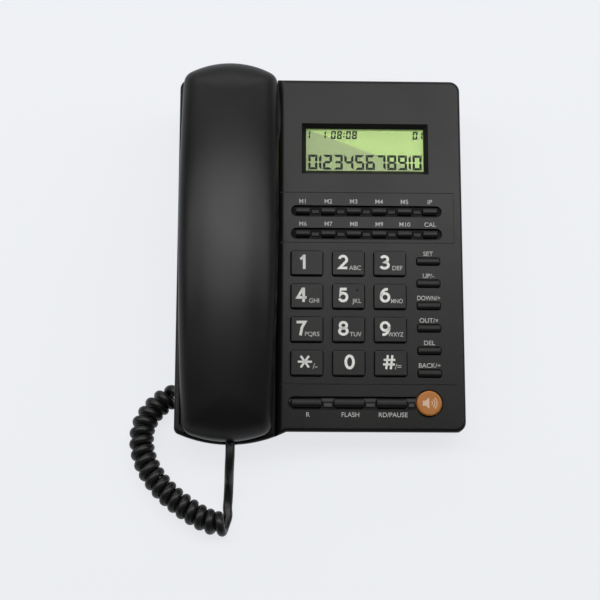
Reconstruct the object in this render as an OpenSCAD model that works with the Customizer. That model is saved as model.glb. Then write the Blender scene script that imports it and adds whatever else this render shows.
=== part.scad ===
// Corded desk telephone with display, memory keys and a curly handset cord.
// Millimetres. +Z up, the user sits at -Y, the handset lies at -X.
// The origin is on the desk under the middle of the housing.
// The key panel slopes: its own frame runs u to the right, v to the rear and w up out of the panel.

/* [Housing] */
// Slope of the key panel, in degrees
panel_tilt = 8; // [5:0.5:11]
// Height of the panel's front edge above the desk
front_h = 22; // [21:0.5:30]
// Wall thickness of both housings
wall = 2.5; // [2:0.1:2.8]
// Height of the seam between the two housings
seam_h = 10; // [9:0.25:10.5]
// Radius of the upright corners
corner_r = 5.5; // [4:0.5:8]
// Radius of the rounded edge round the panel
edge_r = 2; // [1.75:0.25:2]
// Radius of the front bulge under the handset's mouth end
nose_r = 67; // [67:1:90]
// Lean of the front wall under the panel, in degrees
front_lean = 7; // [0:0.5:9]
// Height of the rubber feet below the lower housing
foot_h = 2; // [1.5:0.25:2.5]
// Diameter of the rubber feet
foot_d = 12; // [8:0.5:16]

/* [Cradle] */
// Width of the rim left of the cradle
cradle_rim = 2.7; // [1.8:0.1:4]
// Depth of the cradle floor below the panel
cradle_depth = 5.8; // [5:0.1:6.5]
// How far the handset overhangs each side wall of the cradle
cradle_tuck = 0.95; // [0.6:0.05:1.2]
// Thickness of the cradle's walls and floor
cradle_wall = 2; // [1.6:0.1:2.2]
// Extra depth of the finger scoop in the middle of the cradle
scoop_depth = 4; // [2:0.5:6]
// Radius of the rolled edge between panel and cradle
roll_r = 4; // [2:0.5:5]
// Gap between the handset and the cradle floor
rest_gap = 0.3; // [0.2:0.05:0.6]
// How far the handset's ear end stands out beyond the panel's rear edge
rear_overhang = 6.4; // [3:0.2:9]
// Lip of the housing in front of the handset's mouth end
front_lip = 1; // [0.8:0.1:2]

/* [Display] */
// Width of the visible display window
lcd_w = 63.5; // [50:0.5:66]
// Height of the visible display window
lcd_l = 23.4; // [18:0.2:25]
// Width of the bevel round the window
lcd_bevel = 2.4; // [1.5:0.1:3]
// Thickness of the clear lens
lens_t = 1.2; // [0.8:0.1:1.6]

/* [Keys] */
// Width of a dial key
dial_w = 17; // [14:0.25:18]
// Length of a dial key
dial_l = 13.5; // [10:0.25:14]
// Column pitch of the dial keys
dial_pitch_u = 22; // [20:0.25:24]
// Row pitch of the dial keys
dial_pitch_v = 17.8; // [16.5:0.1:20]
// Width of a memory key
memory_w = 7.8; // [6:0.2:9]
// Pitch of the memory keys along a slot
memory_pitch_u = 13.6; // [12.5:0.1:14.5]
// Pitch of the two memory slots
memory_pitch_v = 12.4; // [11:0.1:14]
// Width of a function key
function_w = 12.2; // [9:0.2:14]
// Length of memory and function keys
small_l = 4; // [3.5:0.1:4.6]
// Pitch of the function keys
function_pitch = 12; // [10:0.1:13]
// Width of a long key in the lower slot
long_w = 15.8; // [12:0.2:18]
// Length of a long key
long_l = 5; // [4:0.1:5.6]
// Diameter of the round speaker button
speaker_d = 13.2; // [11:0.2:15]
// Width of the key slots round the small keys
slot_l = 6.3; // [6:0.1:7]
// Depth of the key slots along their rear edge
slot_rear_depth = 1.9; // [1.2:0.1:2]
// Depth of the key slots along their front edge
slot_front_depth = 0.5; // [0.3:0.1:1.2]
// Gap round every key in its hole
key_gap = 0.35; // [0.3:0.05:0.5]
// Height of the dial keys above the panel
dial_rise = 1.9; // [1.7:0.1:3]
// Height of the small and long keys above the panel
small_rise = 1.3; // [0.8:0.1:2]
// Travel of every key
key_travel = 1.5; // [1:0.1:1.6]

/* [Panel layout] */
// Panel between the cradle and the first dial column
dial_margin = 7.7; // [6.5:0.1:12]
// Gap between the dial keys and the function keys
function_gap = 5.9; // [4:0.1:9]
// Panel right of the function keys
right_margin = 12.6; // [10:0.1:16]
// Front edge of the panel to the long keys' middle
front_margin = 14.9; // [12:0.1:18]
// Long keys' middle to the last dial row
long_to_dial = 20.9; // [18:0.1:24]
// First dial row to the nearer memory slot
dial_to_memory = 16.4; // [14:0.1:20]
// Farther memory slot to the display's middle
memory_to_lcd = 34.8; // [30:0.1:40]
// How far the bulge under the handset stands out in front of the panel's front edge
nose_reach = 6.9; // [6.5:0.1:7.3]

/* [Handset] */
// Length of the handset
handset_l = 204; // [194:0.2:208]
// Largest width of the handset
handset_w = 51.8; // [48:0.2:56]
// Narrowing of the handset at its mouth end
handset_taper = 6; // [2:0.5:8]
// Fall of the handset's back from its middle to its ends
arch_drop = 15.9; // [13:0.1:18]
// Height of the handset's back above the panel
handset_rise = 33; // [31:0.5:38]
// Height of the crowned outer shell
crown_h = 12.7; // [11:0.1:13]
// Radius of the ear end's curve in plan
ear_end_r = 42; // [38:1:60]
// Radius of the mouth end's curve in plan
mouth_end_r = 54; // [45:1:65]
// Radius of the handset's four corners in plan
handset_corner_r = 7; // [5:0.5:10]
// Length of the flat ear and mouth caps
cap_l = 44; // [40:1:48]
// Clear height of the grip above the caps' faces
grip_h = 16.5; // [12:0.5:18]
// Diameter of the ear receiver
receiver_d = 27; // [22:0.5:30]
// Cord socket right of the handset's middle line
socket_shift = 1.7; // [-6:0.1:6]

/* [Cord] */
// Diameter of the curly cord
cord_d = 3.6; // [3.2:0.1:3.7]
// Diameter of the straight lead
lead_d = 4.6; // [3.4:0.1:5]
// Outer diameter of the curls
curl_d = 13.2; // [12.8:0.1:13.4]
// Number of curls
curls = 19; // [14:1:19]

/* [Hidden] */
$fn = 48;
eps = 0.05;
deep = 70;
clearance = 0.3;

// Small shifts of the key groups off the common lines
function_shift = 1.5;
memory_shift = 0.8;
lcd_shift = 0.3;

// Panel layout, counted from the housing's left and front edges; the housing is as long as the handset asks
cradle_w = handset_w - 2 * cradle_tuck;
dial_block_w = 2 * dial_pitch_u + dial_w;
body_w = cradle_rim + cradle_w + dial_margin + dial_block_w + function_gap + function_w + right_margin;
body_l = handset_l + front_lip - rear_overhang - nose_reach;
left = -body_w / 2;
right = body_w / 2;
front = -body_l / 2;
rear = body_l / 2;
cradle_left = left + cradle_rim;
cradle_right = cradle_left + cradle_w;
dial_u = cradle_right + dial_margin + dial_w / 2;
function_u = right - right_margin - function_w / 2;
long_v = front + front_margin;
dial_v = long_v + long_to_dial + 3 * dial_pitch_v;
memory_v = dial_v + dial_to_memory;
lcd_v = memory_v + memory_pitch_v + memory_to_lcd;
function_v = dial_v + function_shift;
keys_mid_u = (dial_u - dial_w / 2 + function_u + function_w / 2) / 2;
memory_u = keys_mid_u + memory_shift - 2.5 * memory_pitch_u;
lcd_u = keys_mid_u + lcd_shift;
long_pitch = dial_pitch_u + 0.2;
speaker_u = function_u - 0.6;
groove_right = right - 4.5;
groove_w = 0.5;
groove_depth = 0.4;
speaker_sink = 1.2;
memory_line_front = memory_v - 5;
memory_line_rear = memory_v + memory_pitch_v + 10.1;
long_line = long_v + 9.8;

// Panel frame in the row frame: the housing's bounding box is centred on the origin
panel_z = front_h + rear * sin(panel_tilt);
tray_z = foot_h;
handset_v = rear + rear_overhang - handset_l / 2;
nose_tip = handset_v - handset_l / 2 - front_lip;
front_y = (nose_tip + edge_r) * cos(panel_tilt) + edge_r * sin(panel_tilt) - edge_r;
rear_w = (tray_z - panel_z - rear * sin(panel_tilt)) / cos(panel_tilt);
rear_y = rear * cos(panel_tilt) - rear_w * sin(panel_tilt);
panel_y = -(front_y + rear_y) / 2;
front_edge_y = front * cos(panel_tilt) + panel_y;
rear_edge_y = rear * cos(panel_tilt) + panel_y;
span = 3 * body_l;

// Handset: middle line, arch, caps and grip in the panel frame
handset_u = (cradle_left + cradle_right) / 2;
cap_w = -(cradle_depth - rest_gap);
spine_end = handset_l / 2 - handset_w / 2 + 2;
arch_r = (pow(handset_l / 2, 2) + pow(arch_drop, 2)) / (2 * arch_drop);
handset_draft = 0.12;

// Front bulge: a disc whose edge runs round the handset's mouth end
nose_u = handset_u + 1;
nose_v = nose_tip + nose_r;
nose_corner_r = edge_r + 1.5;

// Cradle: its right wall bows out beside the ear end
bow_v = handset_v + handset_l / 2 - 26.6;
bow_w = 2.2;
bow_r = 103;
lip_tuck = 0.7;
cradle_chamfer = 3.5;
bow_l = 42;
scoop_r = 180;
scoop_l = 120;

// Depths below the panel
flange_top = wall + clearance;
flange_t = 1;
stem_end = flange_top + flange_t + 2.2;
mat_t = 1;
mat_top = stem_end + key_travel + clearance;
board_top = mat_top + mat_t;
board_t = 1.6;
collar_top = flange_top + flange_t + key_travel + clearance;

// Board outline in the panel frame
board_left = cradle_right + roll_r + 3;
board_right = function_u + function_w / 2 + 1.5;
board_front = long_v - speaker_d / 2 - 3.9;
board_rear = min(lcd_v + lcd_l / 2 + 10, rear - wall - clearance);
post_d = 4;
post_inset = post_d / 2 + 0.2;
board_posts = [for (u = [board_left + post_inset, board_right - post_inset])
    for (v = [board_front + post_inset, board_rear - post_inset]) [u, v]];
mat_front = board_front + 6;
mat_rear = lcd_v - lcd_l / 2 - 4;

// Housing screws, in the row frame
screw_d = 3;
boss_d = 7;
boss_foot = tray_z + wall + 1.5;
boss_inset = 7;
boss_rear = 9;
boss_front = 11;
nose_boss = [12, 5];
screw_head_d = screw_d + 2.6;
screw_head_t = 1.8;
screw_sink = 0.4;
screw_l = boss_foot - tray_z + 4;
screw_places = [
    [right - boss_inset, rear_edge_y - boss_rear],
    [right - boss_inset, front_edge_y + boss_front],
    [left + boss_inset + 3, rear_edge_y - boss_rear],
    [left + nose_boss.x, front_edge_y + nose_boss.y]];
foot_seat = 0.8;
foot_places = [
    [left + 22, rear - 7.5], [right - 22, rear - 7.5],
    [handset_u, front + 9.5], [right - 19, front + 13.5]];

// Hook plunger and its switch, in the panel frame
hook_u = handset_u;
hook_v = handset_v + handset_l / 2 - cap_l + 5.8;
hook_l = 10;
hook_w = 5;
hook_travel = 4;
hook_foot = cradle_depth + cradle_wall + hook_travel + clearance;
switch_h = 6.4;
switch_l = 20;
switch_top = hook_foot + 2 + clearance;

// Handset cord: plugs, jacks and the pocket in the housing's left side
plug_w = 7.6;
plug_h = 6.4;
plug_l = 12;
plug_gap = 0.15;
jack_wall = 1.2;
jack_l = 14;
jack_w = plug_w + 2 * plug_gap + 2 * jack_wall;
jack_h = plug_h + 2 * plug_gap + 2 * jack_wall;
socket_span = [jack_w + 2 * eps, jack_h + 2 * eps];
pocket_y = front_edge_y + 23.4;
pocket_l = 17;
pocket_h = 13.8;
pocket_depth = 16;
liner_t = 1.6;
jack_z = tray_z + wall + jack_h / 2;
jack_x = left + pocket_depth + liner_t;
plug_out = 5;
plug_x = jack_x - liner_t - plug_out;
socket_sink = 2;
socket_u = handset_u + socket_shift;
socket_v = handset_v - handset_l / 2 + socket_sink;
socket_w = parting_w(handset_l / 2 - socket_sink) - jack_h / 2 - 0.2;
boot_d = 5.6;
boot_v = nose_tip - 0.2;
notch_w = boot_d + 1.4;

// Line jack in the rear wall, in the panel frame
line_u = 42;
line_w = -20;
line_jack_w = 13;
line_jack_h = 12;
line_plug_w = 9.8;
line_plug_h = 7.2;

// Loudspeaker and microphone on the tray, in the row frame
sounder_x = 30;
sounder_y = 46;
sounder_d = 50;
sounder_h = 15;
sounder_rim = 6;
sounder_rim_t = 2.5;
magnet_d = 24;
magnet_h = 5;
grille_pitch = 6.5;
grille_d = 3;
mic_d = 9.7;
mic_h = 6;
mic_y = front_edge_y + 12.9;

// Route of the curls' middle line, from the panel's left front corner, and of the lead, from under the socket
curl_route = [for (p = [
    [26.8, -45.5], [21.6, -45], [14.2, -42], [5, -36.1], [-4.8, -27.9], [-12.6, -17.9],
    [-17, -6.6], [-17, 5.4], [-11.5, 15.4], [-3, 22.4]]) [left + p.x, front_edge_y + p.y]];
lead_route = [for (p = [
    [-0.15, -15.1, 19.5], [-0.35, -18.6, 16.8], [-0.5, -21.3, 13], [-0.65, -23.9, 8.6],
    [-0.85, -27.6, 5.1], [-1.1, -32.3, 3.1], [-1.35, -36.1, 2.6]]) [socket_u + p.x, front_edge_y + p.y, p.z]];

// Names
dial_names = ["key_1", "key_2", "key_3", "key_4", "key_5", "key_6", "key_7", "key_8", "key_9",
    "key_star", "key_0", "key_hash"];
memory_names = ["memory_key_1", "memory_key_2", "memory_key_3", "memory_key_4", "memory_key_5", "prefix_key",
    "memory_key_6", "memory_key_7", "memory_key_8", "memory_key_9", "memory_key_10", "call_key"];
function_names = ["set_key", "up_key", "down_key", "out_key", "delete_key", "back_key"];
long_names = ["recall_key", "flash_key", "redial_key"];

black = [0.06, 0.06, 0.065];
key_black = [0.08, 0.08, 0.085];

// Places of the keys in the panel frame
function dial_place(i) = [dial_u + (i % 3) * dial_pitch_u, dial_v - floor(i / 3) * dial_pitch_v];
function memory_place(i) = [memory_u + (i % 6) * memory_pitch_u,
    memory_v + (1 - floor(i / 6)) * memory_pitch_v];
function function_place(i) = [function_u, function_v - i * function_pitch];
function long_place(i) = [dial_u + i * long_pitch, long_v];
speaker_place = [speaker_u, long_v];

module on_panel() {
    translate([0, panel_y, panel_z])
        rotate([panel_tilt, 0, 0])
            children();
}

// Block of the row frame between two heights
module between(low, high) {
    translate([-span, -span, low])
        cube([2 * span, 2 * span, high - low]);
}

// Upright rectangle, centred, its top edge at y = 0 with two round corners
module rounded_top(w, h, r) {
    translate([-w / 2, -h])
        square([w, h - r]);
    translate([-w / 2 + r, -h])
        square([w - 2 * r, h]);
    for (x = [-1, 1])
        translate([x * (w / 2 - r), -r])
            circle(r);
}

// Half of it, from the middle line to x = w
module half_rounded_top(w, h, r) {
    intersection() {
        translate([0, -h])
            square([w, h]);
        union() {
            translate([0, -h])
                square([w, h - r]);
            translate([r - w, -h])
                square([2 * (w - r), h]);
            translate([w - r, -r])
                circle(r);
        }
    }
}

// Rectangle with round corners, centred
module rounded_rect(w, l, r) {
    square([w - 2 * r, l], center = true);
    square([w, l - 2 * r], center = true);
    for (x = [-1, 1], y = [-1, 1])
        translate([x * (w / 2 - r), y * (l / 2 - r)])
            circle(r);
}

// Slot with round ends between two places on one line
module stadium(u0, u1, v, l) {
    translate([u0, v - l / 2])
        square([u1 - u0, l]);
    for (u = [u0, u1])
        translate([u, v])
            circle(d = l);
}

// The housing's form in the panel frame, drawn in by i, with its panel edge rounded
module slab(i, edge) {
    x = body_w / 2 - i;
    y = body_l / 2 - i;
    c = max(corner_r - i, 0.6);
    e = min(edge, c - 0.1);
    nr = nose_r - i;
    nc = max(nose_corner_r - i, 0.6);
    ne = min(edge, nc - 0.1);
    nose_corner = [-x + nc, nose_v - sqrt(pow(nr - nc, 2) - pow(-x + nc - nose_u, 2))];
    covered = nose_corner.y < -y + c;
    corners = concat([[x - c, y - c], [x - c, -y + c], [-x + c, y - c]], covered ? [] : [[-x + c, -y + c]]);
    start = atan2(nose_corner.y - nose_v, nose_corner.x - nose_u);
    stop = atan2(-y - nose_v, sqrt(max(nr * nr - pow(y + nose_v, 2), 1)));
    translate([0, 0, -i])
    intersection() {
        translate([0, -y, -edge_r])
            rotate([front_lean, 0, 0])
                translate([0, y, -deep])
                    linear_extrude(2 * deep)
                        front_plan(y, nr);
        union() {
            rotate([90, 0, 0])
                translate([0, 0, -(y - c)])
                    linear_extrude(2 * (y - c))
                        rounded_top(2 * x, deep, e);
            rotate([90, 0, 90])
                translate([0, 0, -(x - c)])
                    linear_extrude(2 * (x - c))
                        rounded_top(2 * y, deep, e);
            for (p = corners)
                translate(p)
                    rotate_extrude()
                        half_rounded_top(c, deep, e);
            translate([-x + 20, 0, 0])
                rotate([90, 0, 0])
                    linear_extrude(-nose_corner.y)
                        mirror([1, 0])
                            half_rounded_top(20, deep, e);
            translate(nose_corner)
                rotate_extrude()
                    half_rounded_top(nc, deep, ne);
            translate([nose_u, nose_v])
                rotate([0, 0, start])
                    rotate_extrude(angle = stop - start + 1, $fn = 96)
                        half_rounded_top(nr, deep, e);
        }
    }
}

// Plan that bounds the leaning front wall: the panel's front line and the nose's disc
module front_plan(y, nr) {
    translate([-span, -y - eps])
        square(2 * span);
    translate([nose_u, nose_v])
        circle(nr + eps, $fn = 96);
}

// Plan of the cradle, grown by g: round at the mouth end, with a cut corner at the left
module cradle_plan(g) {
    mouth_r = nose_r - front_lip - lip_tuck + g;
    corner = [cradle_left - g, nose_v - sqrt(pow(mouth_r, 2) - pow(cradle_left - g - nose_u, 2))];
    difference() {
        intersection() {
            translate([cradle_left - g, -body_l])
                square([cradle_w + 2 * g, 2 * body_l]);
            union() {
                translate([nose_u, nose_v])
                    circle(mouth_r, $fn = 96);
                translate([left - 10, nose_v])
                    square([body_w, 2 * body_l]);
            }
        }
        translate(corner)
            rotate(45)
                square(cradle_chamfer * sqrt(2), center = true);
    }
    intersection() {
        translate([handset_u, bow_v - bow_l / 2 - g])
            square([handset_w, bow_l + 2 * g]);
        translate([cradle_right + bow_w - bow_r + g, bow_v])
            circle(bow_r, $fn = 96);
    }
}

// Cylinder across the cradle that hollows its middle for the fingers
module scoop(g) {
    translate([cradle_left + 2 - g, handset_v, -cradle_depth - scoop_depth + scoop_r - g])
        rotate([0, 90, 0])
            cylinder(r = scoop_r, h = cradle_w - 4 + 2 * g, $fn = 96);
}

module cradle_cut() {
    translate([0, 0, -cradle_depth])
        linear_extrude(cradle_depth + 10)
            cradle_plan(0);
    intersection() {
        scoop(0);
        translate([left, handset_v - scoop_l / 2, -30])
            cube([body_w, scoop_l, 40]);
    }
    translate([cradle_right, rear + 1, 0])
        rotate([90, 0, 0])
            linear_extrude(body_l + 20)
                difference() {
                    translate([-1, -roll_r])
                        square([roll_r + 1, roll_r + 1]);
                    translate([roll_r, -roll_r])
                        circle(roll_r);
                    translate([-1, -roll_r])
                        square([1, roll_r + 1]);
                }
}

// Walls and floor of the cradle, which stand in the housing's hollow
module cradle_tub() {
    translate([0, 0, -cradle_depth - cradle_wall])
        linear_extrude(cradle_depth + cradle_wall + 1)
            cradle_plan(cradle_wall);
    intersection() {
        scoop(cradle_wall);
        translate([left, handset_v - scoop_l / 2, -cradle_depth - scoop_depth - cradle_wall])
            cube([cradle_right + cradle_wall - left, scoop_l, 20]);
    }
    translate([cradle_right, -body_l, -roll_r - cradle_wall])
        cube([roll_r + cradle_wall, 2 * body_l, roll_r + cradle_wall + 1]);
}

// Opening for one key, through the panel
module key_hole(place, w, l, r) {
    translate([place.x, place.y, -wall - 1])
        linear_extrude(wall + 5)
            rounded_rect(w + 2 * key_gap, l + 2 * key_gap, r + key_gap);
}

// Slot round a row of keys: its floor rises from the rear edge to the front edge
module key_slot(u0, u1, v, l) {
    slot_middle = (slot_rear_depth + slot_front_depth) / 2;
    slot_fall = slot_rear_depth - slot_front_depth;
    intersection() {
        translate([0, 0, -wall])
            linear_extrude(wall + 5)
                stadium(u0, u1, v, l);
        translate([u0 - l, v, 0])
            rotate([90, 0, 90])
                linear_extrude(u1 - u0 + 2 * l)
                    polygon([
                        [-l, 5], [-l, -slot_middle + slot_fall], [l, -slot_middle - slot_fall], [l, 5]]);
    }
}

// Everything cut into the key panel
module panel_cuts() {
    for (i = [0:11])
        key_hole(dial_place(i), dial_w, dial_l, 1.6);
    for (i = [0:11])
        key_hole(memory_place(i), memory_w, small_l, 1);
    for (i = [0:5])
        key_hole(function_place(i), function_w, small_l, 1);
    for (i = [0:2])
        key_hole(long_place(i), long_w, long_l, 1);
    translate([speaker_place.x, speaker_place.y, -wall - 1])
        cylinder(d = speaker_d + 2 * key_gap, h = wall + 5);
    for (i = [0, 6])
        key_slot(memory_place(i).x - 3.2, memory_place(i + 5).x + 3.2, memory_place(i).y, slot_l);
    key_slot(long_place(0).x - 6.3, speaker_u, long_v, slot_l + 0.7);
    translate([speaker_place.x, speaker_place.y, -speaker_sink])
        cylinder(d = speaker_d + 1.6, h = speaker_sink + 5);
    lcd_window();
    for (v = [memory_line_front, memory_line_rear, long_line])
        translate([cradle_right, v - groove_w / 2, -groove_depth])
            cube([groove_right - cradle_right, groove_w, groove_depth + 1]);
    translate([groove_right - groove_w, memory_line_front, -groove_depth])
        cube([groove_w, memory_line_rear - memory_line_front, groove_depth + 1]);
}

// Bevelled window of the display: two crossing prisms with sloping sides
module lcd_window() {
    b = lcd_bevel;
    h = wall + 1;
    intersection() {
        translate([lcd_u, lcd_v + lcd_l, 0])
            rotate([90, 0, 0])
                linear_extrude(2 * lcd_l)
                    window_profile(lcd_w, b, h);
        translate([lcd_u - lcd_w, lcd_v, 0])
            rotate([90, 0, 90])
                linear_extrude(2 * lcd_w)
                    window_profile(lcd_l, b, h);
    }
}

module window_profile(w, b, h) {
    polygon([
        [-w / 2, -h], [w / 2, -h], [w / 2, -wall], [w / 2 + b, 0], [w / 2 + b, 3],
        [-w / 2 - b, 3], [-w / 2 - b, 0], [-w / 2, -wall]]);
}

// Notch in the front lip for the handset cord
module cord_notch() {
    translate([socket_u, handset_v - handset_l / 2 + 6, socket_w])
        rotate([90, 0, 0]) {
            cylinder(d = notch_w, h = 14);
            translate([-notch_w / 2, 0, 0])
                cube([notch_w, 20, 14]);
        }
}

// Pocket in the left side in which the handset cord plugs in
module pocket(g) {
    translate([left - 5, pocket_y - pocket_l / 2 - g, -5])
        cube([pocket_depth + 5 + g, pocket_l + 2 * g, pocket_h + 5 + g]);
}

module base_top() {
    color(black)
    difference() {
        union() {
            difference() {
                intersection() {
                    on_panel()
                        slab(0, edge_r);
                    between(seam_h, span);
                }
                on_panel()
                    difference() {
                        slab(wall, 0.5);
                        cradle_tub();
                        for (p = board_posts)
                            translate([p.x, p.y, -board_top])
                                cylinder(d = post_d, h = board_top);
                        hook_bracket();
                    }
            }
            intersection() {
                on_panel()
                    slab(wall - 1, 0.5);
                for (p = screw_places)
                    translate([p.x, p.y, boss_foot])
                        cylinder(d = boss_d, h = 60);
            }
        }
        on_panel() {
            cradle_cut();
            panel_cuts();
            cord_notch();
            line_hole();
            translate([hook_u, hook_v, -20])
                linear_extrude(30)
                    rounded_rect(hook_l + 2 * clearance, hook_w + 2 * clearance, 1);
        }
        for (p = screw_places)
            translate([p.x, p.y, boss_foot - 1])
                cylinder(d = screw_d - 0.4, h = screw_l + 1);
        pocket(0);
    }
}

// Two ribs under the cradle that hold the hook switch
module hook_bracket() {
    for (s = [-1, 1])
        translate([hook_u + s * (switch_l / 2 + 1) - 1, hook_v - 6, -switch_top - switch_h])
            cube([2, 12, switch_top + switch_h - cradle_depth]);
}

module line_hole() {
    translate([line_u - line_plug_w / 2 - 0.6, rear - wall - 1, line_w - line_plug_h / 2 - 0.6])
        cube([line_plug_w + 1.2, wall + 5, line_plug_h + 1.2]);
}

module base_bottom() {
    color(black)
    difference() {
        union() {
            difference() {
                intersection() {
                    on_panel()
                        slab(0, edge_r);
                    between(tray_z, seam_h);
                }
                intersection() {
                    on_panel()
                        slab(wall, 0.5);
                    between(tray_z + wall, seam_h + 1);
                }
            }
            pocket_liner();
            translate([0, mic_y, tray_z + wall - 0.5])
                cylinder(d = mic_d + 4, h = 5);
            for (p = screw_places)
                translate([p.x, p.y, tray_z])
                    cylinder(d = boss_d, h = boss_foot - tray_z);
        }
        pocket(0);
        translate([left + pocket_depth - 1, pocket_y - plug_w / 2 - 0.5, jack_z - plug_h / 2 - 0.5])
            cube([liner_t + 2, plug_w + 1, plug_h + 1]);
        for (p = screw_places)
            translate([p.x, p.y, tray_z - 1]) {
                cylinder(d = screw_d + 0.6, h = 20);
                cylinder(d = screw_head_d + 0.8, h = 1 + screw_sink + screw_head_t);
            }
        for (p = foot_places)
            translate([p.x, p.y, tray_z - 1])
                cylinder(d = foot_d + 0.4, h = 1 + foot_seat);
        for (ring = [0:2], k = [0:max(6 * ring - 1, 0)])
            translate([
                sounder_x + grille_pitch * ring * cos(60 * k / max(ring, 1)),
                sounder_y + grille_pitch * ring * sin(60 * k / max(ring, 1)), tray_z - 1])
                cylinder(d = grille_d, h = wall + 2);
        translate([0, mic_y, tray_z + wall])
            cylinder(d = mic_d + 0.4, h = 10);
        translate([0, mic_y, tray_z - 1])
            cylinder(d = 2, h = wall + 2);
    }
}

// Walls round the pocket, drawn clear of the upper housing
module pocket_liner() {
    intersection() {
        pocket(liner_t);
        union() {
            translate([left + 0.5, pocket_y - 30, tray_z])
                cube([60, 60, seam_h - tray_z]);
            translate([left + wall + clearance, pocket_y - 30, tray_z])
                cube([60, 60, 40]);
        }
    }
}

module feet() {
    color([0.03, 0.03, 0.03])
    for (p = foot_places)
        translate([p.x, p.y, 0])
            rotate_extrude()
                mirror([0, 1])
                    half_rounded_top(foot_d / 2, tray_z + foot_seat, 0.6);
}

module base_screws() {
    color([0.6, 0.6, 0.62])
    for (p = screw_places)
        translate([p.x, p.y, tray_z + screw_sink]) {
            cylinder(d = screw_head_d, h = screw_head_t);
            cylinder(d = screw_d - 0.4, h = screw_l);
        }
}

module lcd_lens() {
    color([0.75, 0.9, 0.8, 0.5])
    on_panel()
        translate([lcd_u, lcd_v, -wall - lens_t])
            linear_extrude(lens_t)
                rounded_rect(lcd_w + 3, lcd_l + 3, 1);
}

module lcd_module() {
    color([0.62, 0.76, 0.42])
    on_panel()
        translate([lcd_u, lcd_v, 0]) {
            translate([0, 0, -wall - lens_t - 2.2])
                linear_extrude(2.2)
                    square([lcd_w + 1, lcd_l + 1], center = true);
            translate([0, 0, -board_top])
                linear_extrude(board_top - wall - lens_t - 2.2)
                    square([lcd_w + 4, lcd_l + 4], center = true);
        }
}

module main_board() {
    color([0.1, 0.35, 0.18])
    on_panel()
        translate([board_left, board_front, -board_top - board_t])
            cube([board_right - board_left, board_rear - board_front, board_t]);
}

module key_mat() {
    color([0.35, 0.35, 0.36])
    on_panel() {
        translate([board_left + 0.5, mat_front, -board_top])
            cube([board_right - board_left - 1, mat_rear - mat_front, mat_t]);
        for (i = [0:11])
            mat_collar(dial_place(i), 6);
        for (i = [0:11])
            mat_collar(memory_place(i), 3);
        for (i = [0:5])
            mat_collar(function_place(i), 3);
        for (i = [0:2])
            mat_collar(long_place(i), 3.6);
        mat_collar(speaker_place, 6);
    }
}

// Raised ring of the mat round one key's stem
module mat_collar(place, stem_d) {
    translate([place.x, place.y, -mat_top - 0.2])
        difference() {
            cylinder(d = stem_d + 2.6, h = mat_top + 0.2 - collar_top);
            translate([0, 0, -1])
                cylinder(d = stem_d + 1, h = mat_top + 2);
        }
}

module loudspeaker() {
    color([0.25, 0.25, 0.26])
    translate([sounder_x, sounder_y, tray_z + wall])
        rotate_extrude()
            polygon([
                [0, sounder_rim / 2], [sounder_d / 2 - sounder_rim, 0], [sounder_d / 2, 0],
                [sounder_d / 2, sounder_rim_t], [sounder_d / 2 - sounder_rim / 2, sounder_rim_t],
                [magnet_d / 2, sounder_h - magnet_h], [magnet_d / 2, sounder_h], [0, sounder_h]]);
}

module base_mic() {
    color([0.7, 0.7, 0.7])
    translate([0, mic_y, tray_z + wall])
        cylinder(d = mic_d, h = mic_h);
}

module line_jack() {
    color([0.1, 0.1, 0.1])
    on_panel()
        translate([line_u, rear - wall, line_w])
            rotate([90, 0, 0])
                difference() {
                    linear_extrude(jack_l)
                        square([line_jack_w, line_jack_h], center = true);
                    translate([0, 0, -1])
                        linear_extrude(jack_l - 1.5)
                            square([line_plug_w, line_plug_h], center = true);
                }
}

module cord_jack() {
    color([0.1, 0.1, 0.1])
    translate([jack_x, pocket_y, jack_z])
        rotate([0, 90, 0])
            socket_block();
}

// Modular socket: a block along +Z, its mouth at z = 0
module socket_block() {
    difference() {
        linear_extrude(jack_l)
            square([jack_h, jack_w], center = true);
        translate([0, 0, -1])
            linear_extrude(jack_l - 0.5)
                square([plug_h + 2 * plug_gap, plug_w + 2 * plug_gap], center = true);
    }
}

// Modular plug along +Z: its cord end at z = 0, with the latch tongue on one side
module plug_block() {
    difference() {
        linear_extrude(plug_l)
            square([plug_h, plug_w], center = true);
        for (k = [-1.5:1:1.5])
            translate([plug_h / 2 - 0.8, k * 1.27 - 0.3, plug_l - 5])
                cube([2, 0.6, 6]);
    }
}

module base_plug() {
    color([0.75, 0.75, 0.72])
    translate([plug_x, pocket_y, jack_z])
        rotate([0, 90, 0])
            plug_block();
}

module handset_socket() {
    color([0.1, 0.1, 0.1])
    on_panel()
        translate([socket_u, socket_v, socket_w])
            rotate([-90, 0, 0])
                rotate([0, 0, 90])
                    socket_block();
}

module handset_plug() {
    color([0.75, 0.75, 0.72])
    on_panel()
        translate([socket_u, socket_v, socket_w])
            rotate([-90, 0, 0]) {
                rotate([0, 0, 90])
                    plug_block();
                translate([0, 0, boot_v - socket_v])
                    cylinder(d = boot_d, h = socket_v - boot_v + 1);
            }
}

module hook_switch() {
    color([0.2, 0.2, 0.22])
    on_panel()
        translate([hook_u - switch_l / 2, hook_v - 5, -switch_top - switch_h])
            cube([switch_l, 10, switch_h]);
}

module hook_plunger() {
    color(key_black)
    on_panel()
        translate([hook_u, hook_v, 0]) {
            translate([0, 0, -hook_foot])
                linear_extrude(hook_foot - cradle_depth)
                    rounded_rect(hook_l, hook_w, 0.8);
            translate([0, 0, -hook_foot - 1])
                linear_extrude(1)
                    rounded_rect(hook_l + 3, hook_w + 3, 1);
            translate([0, 0, -hook_foot - 2])
                cylinder(d = 4, h = 2);
        }
}

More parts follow.
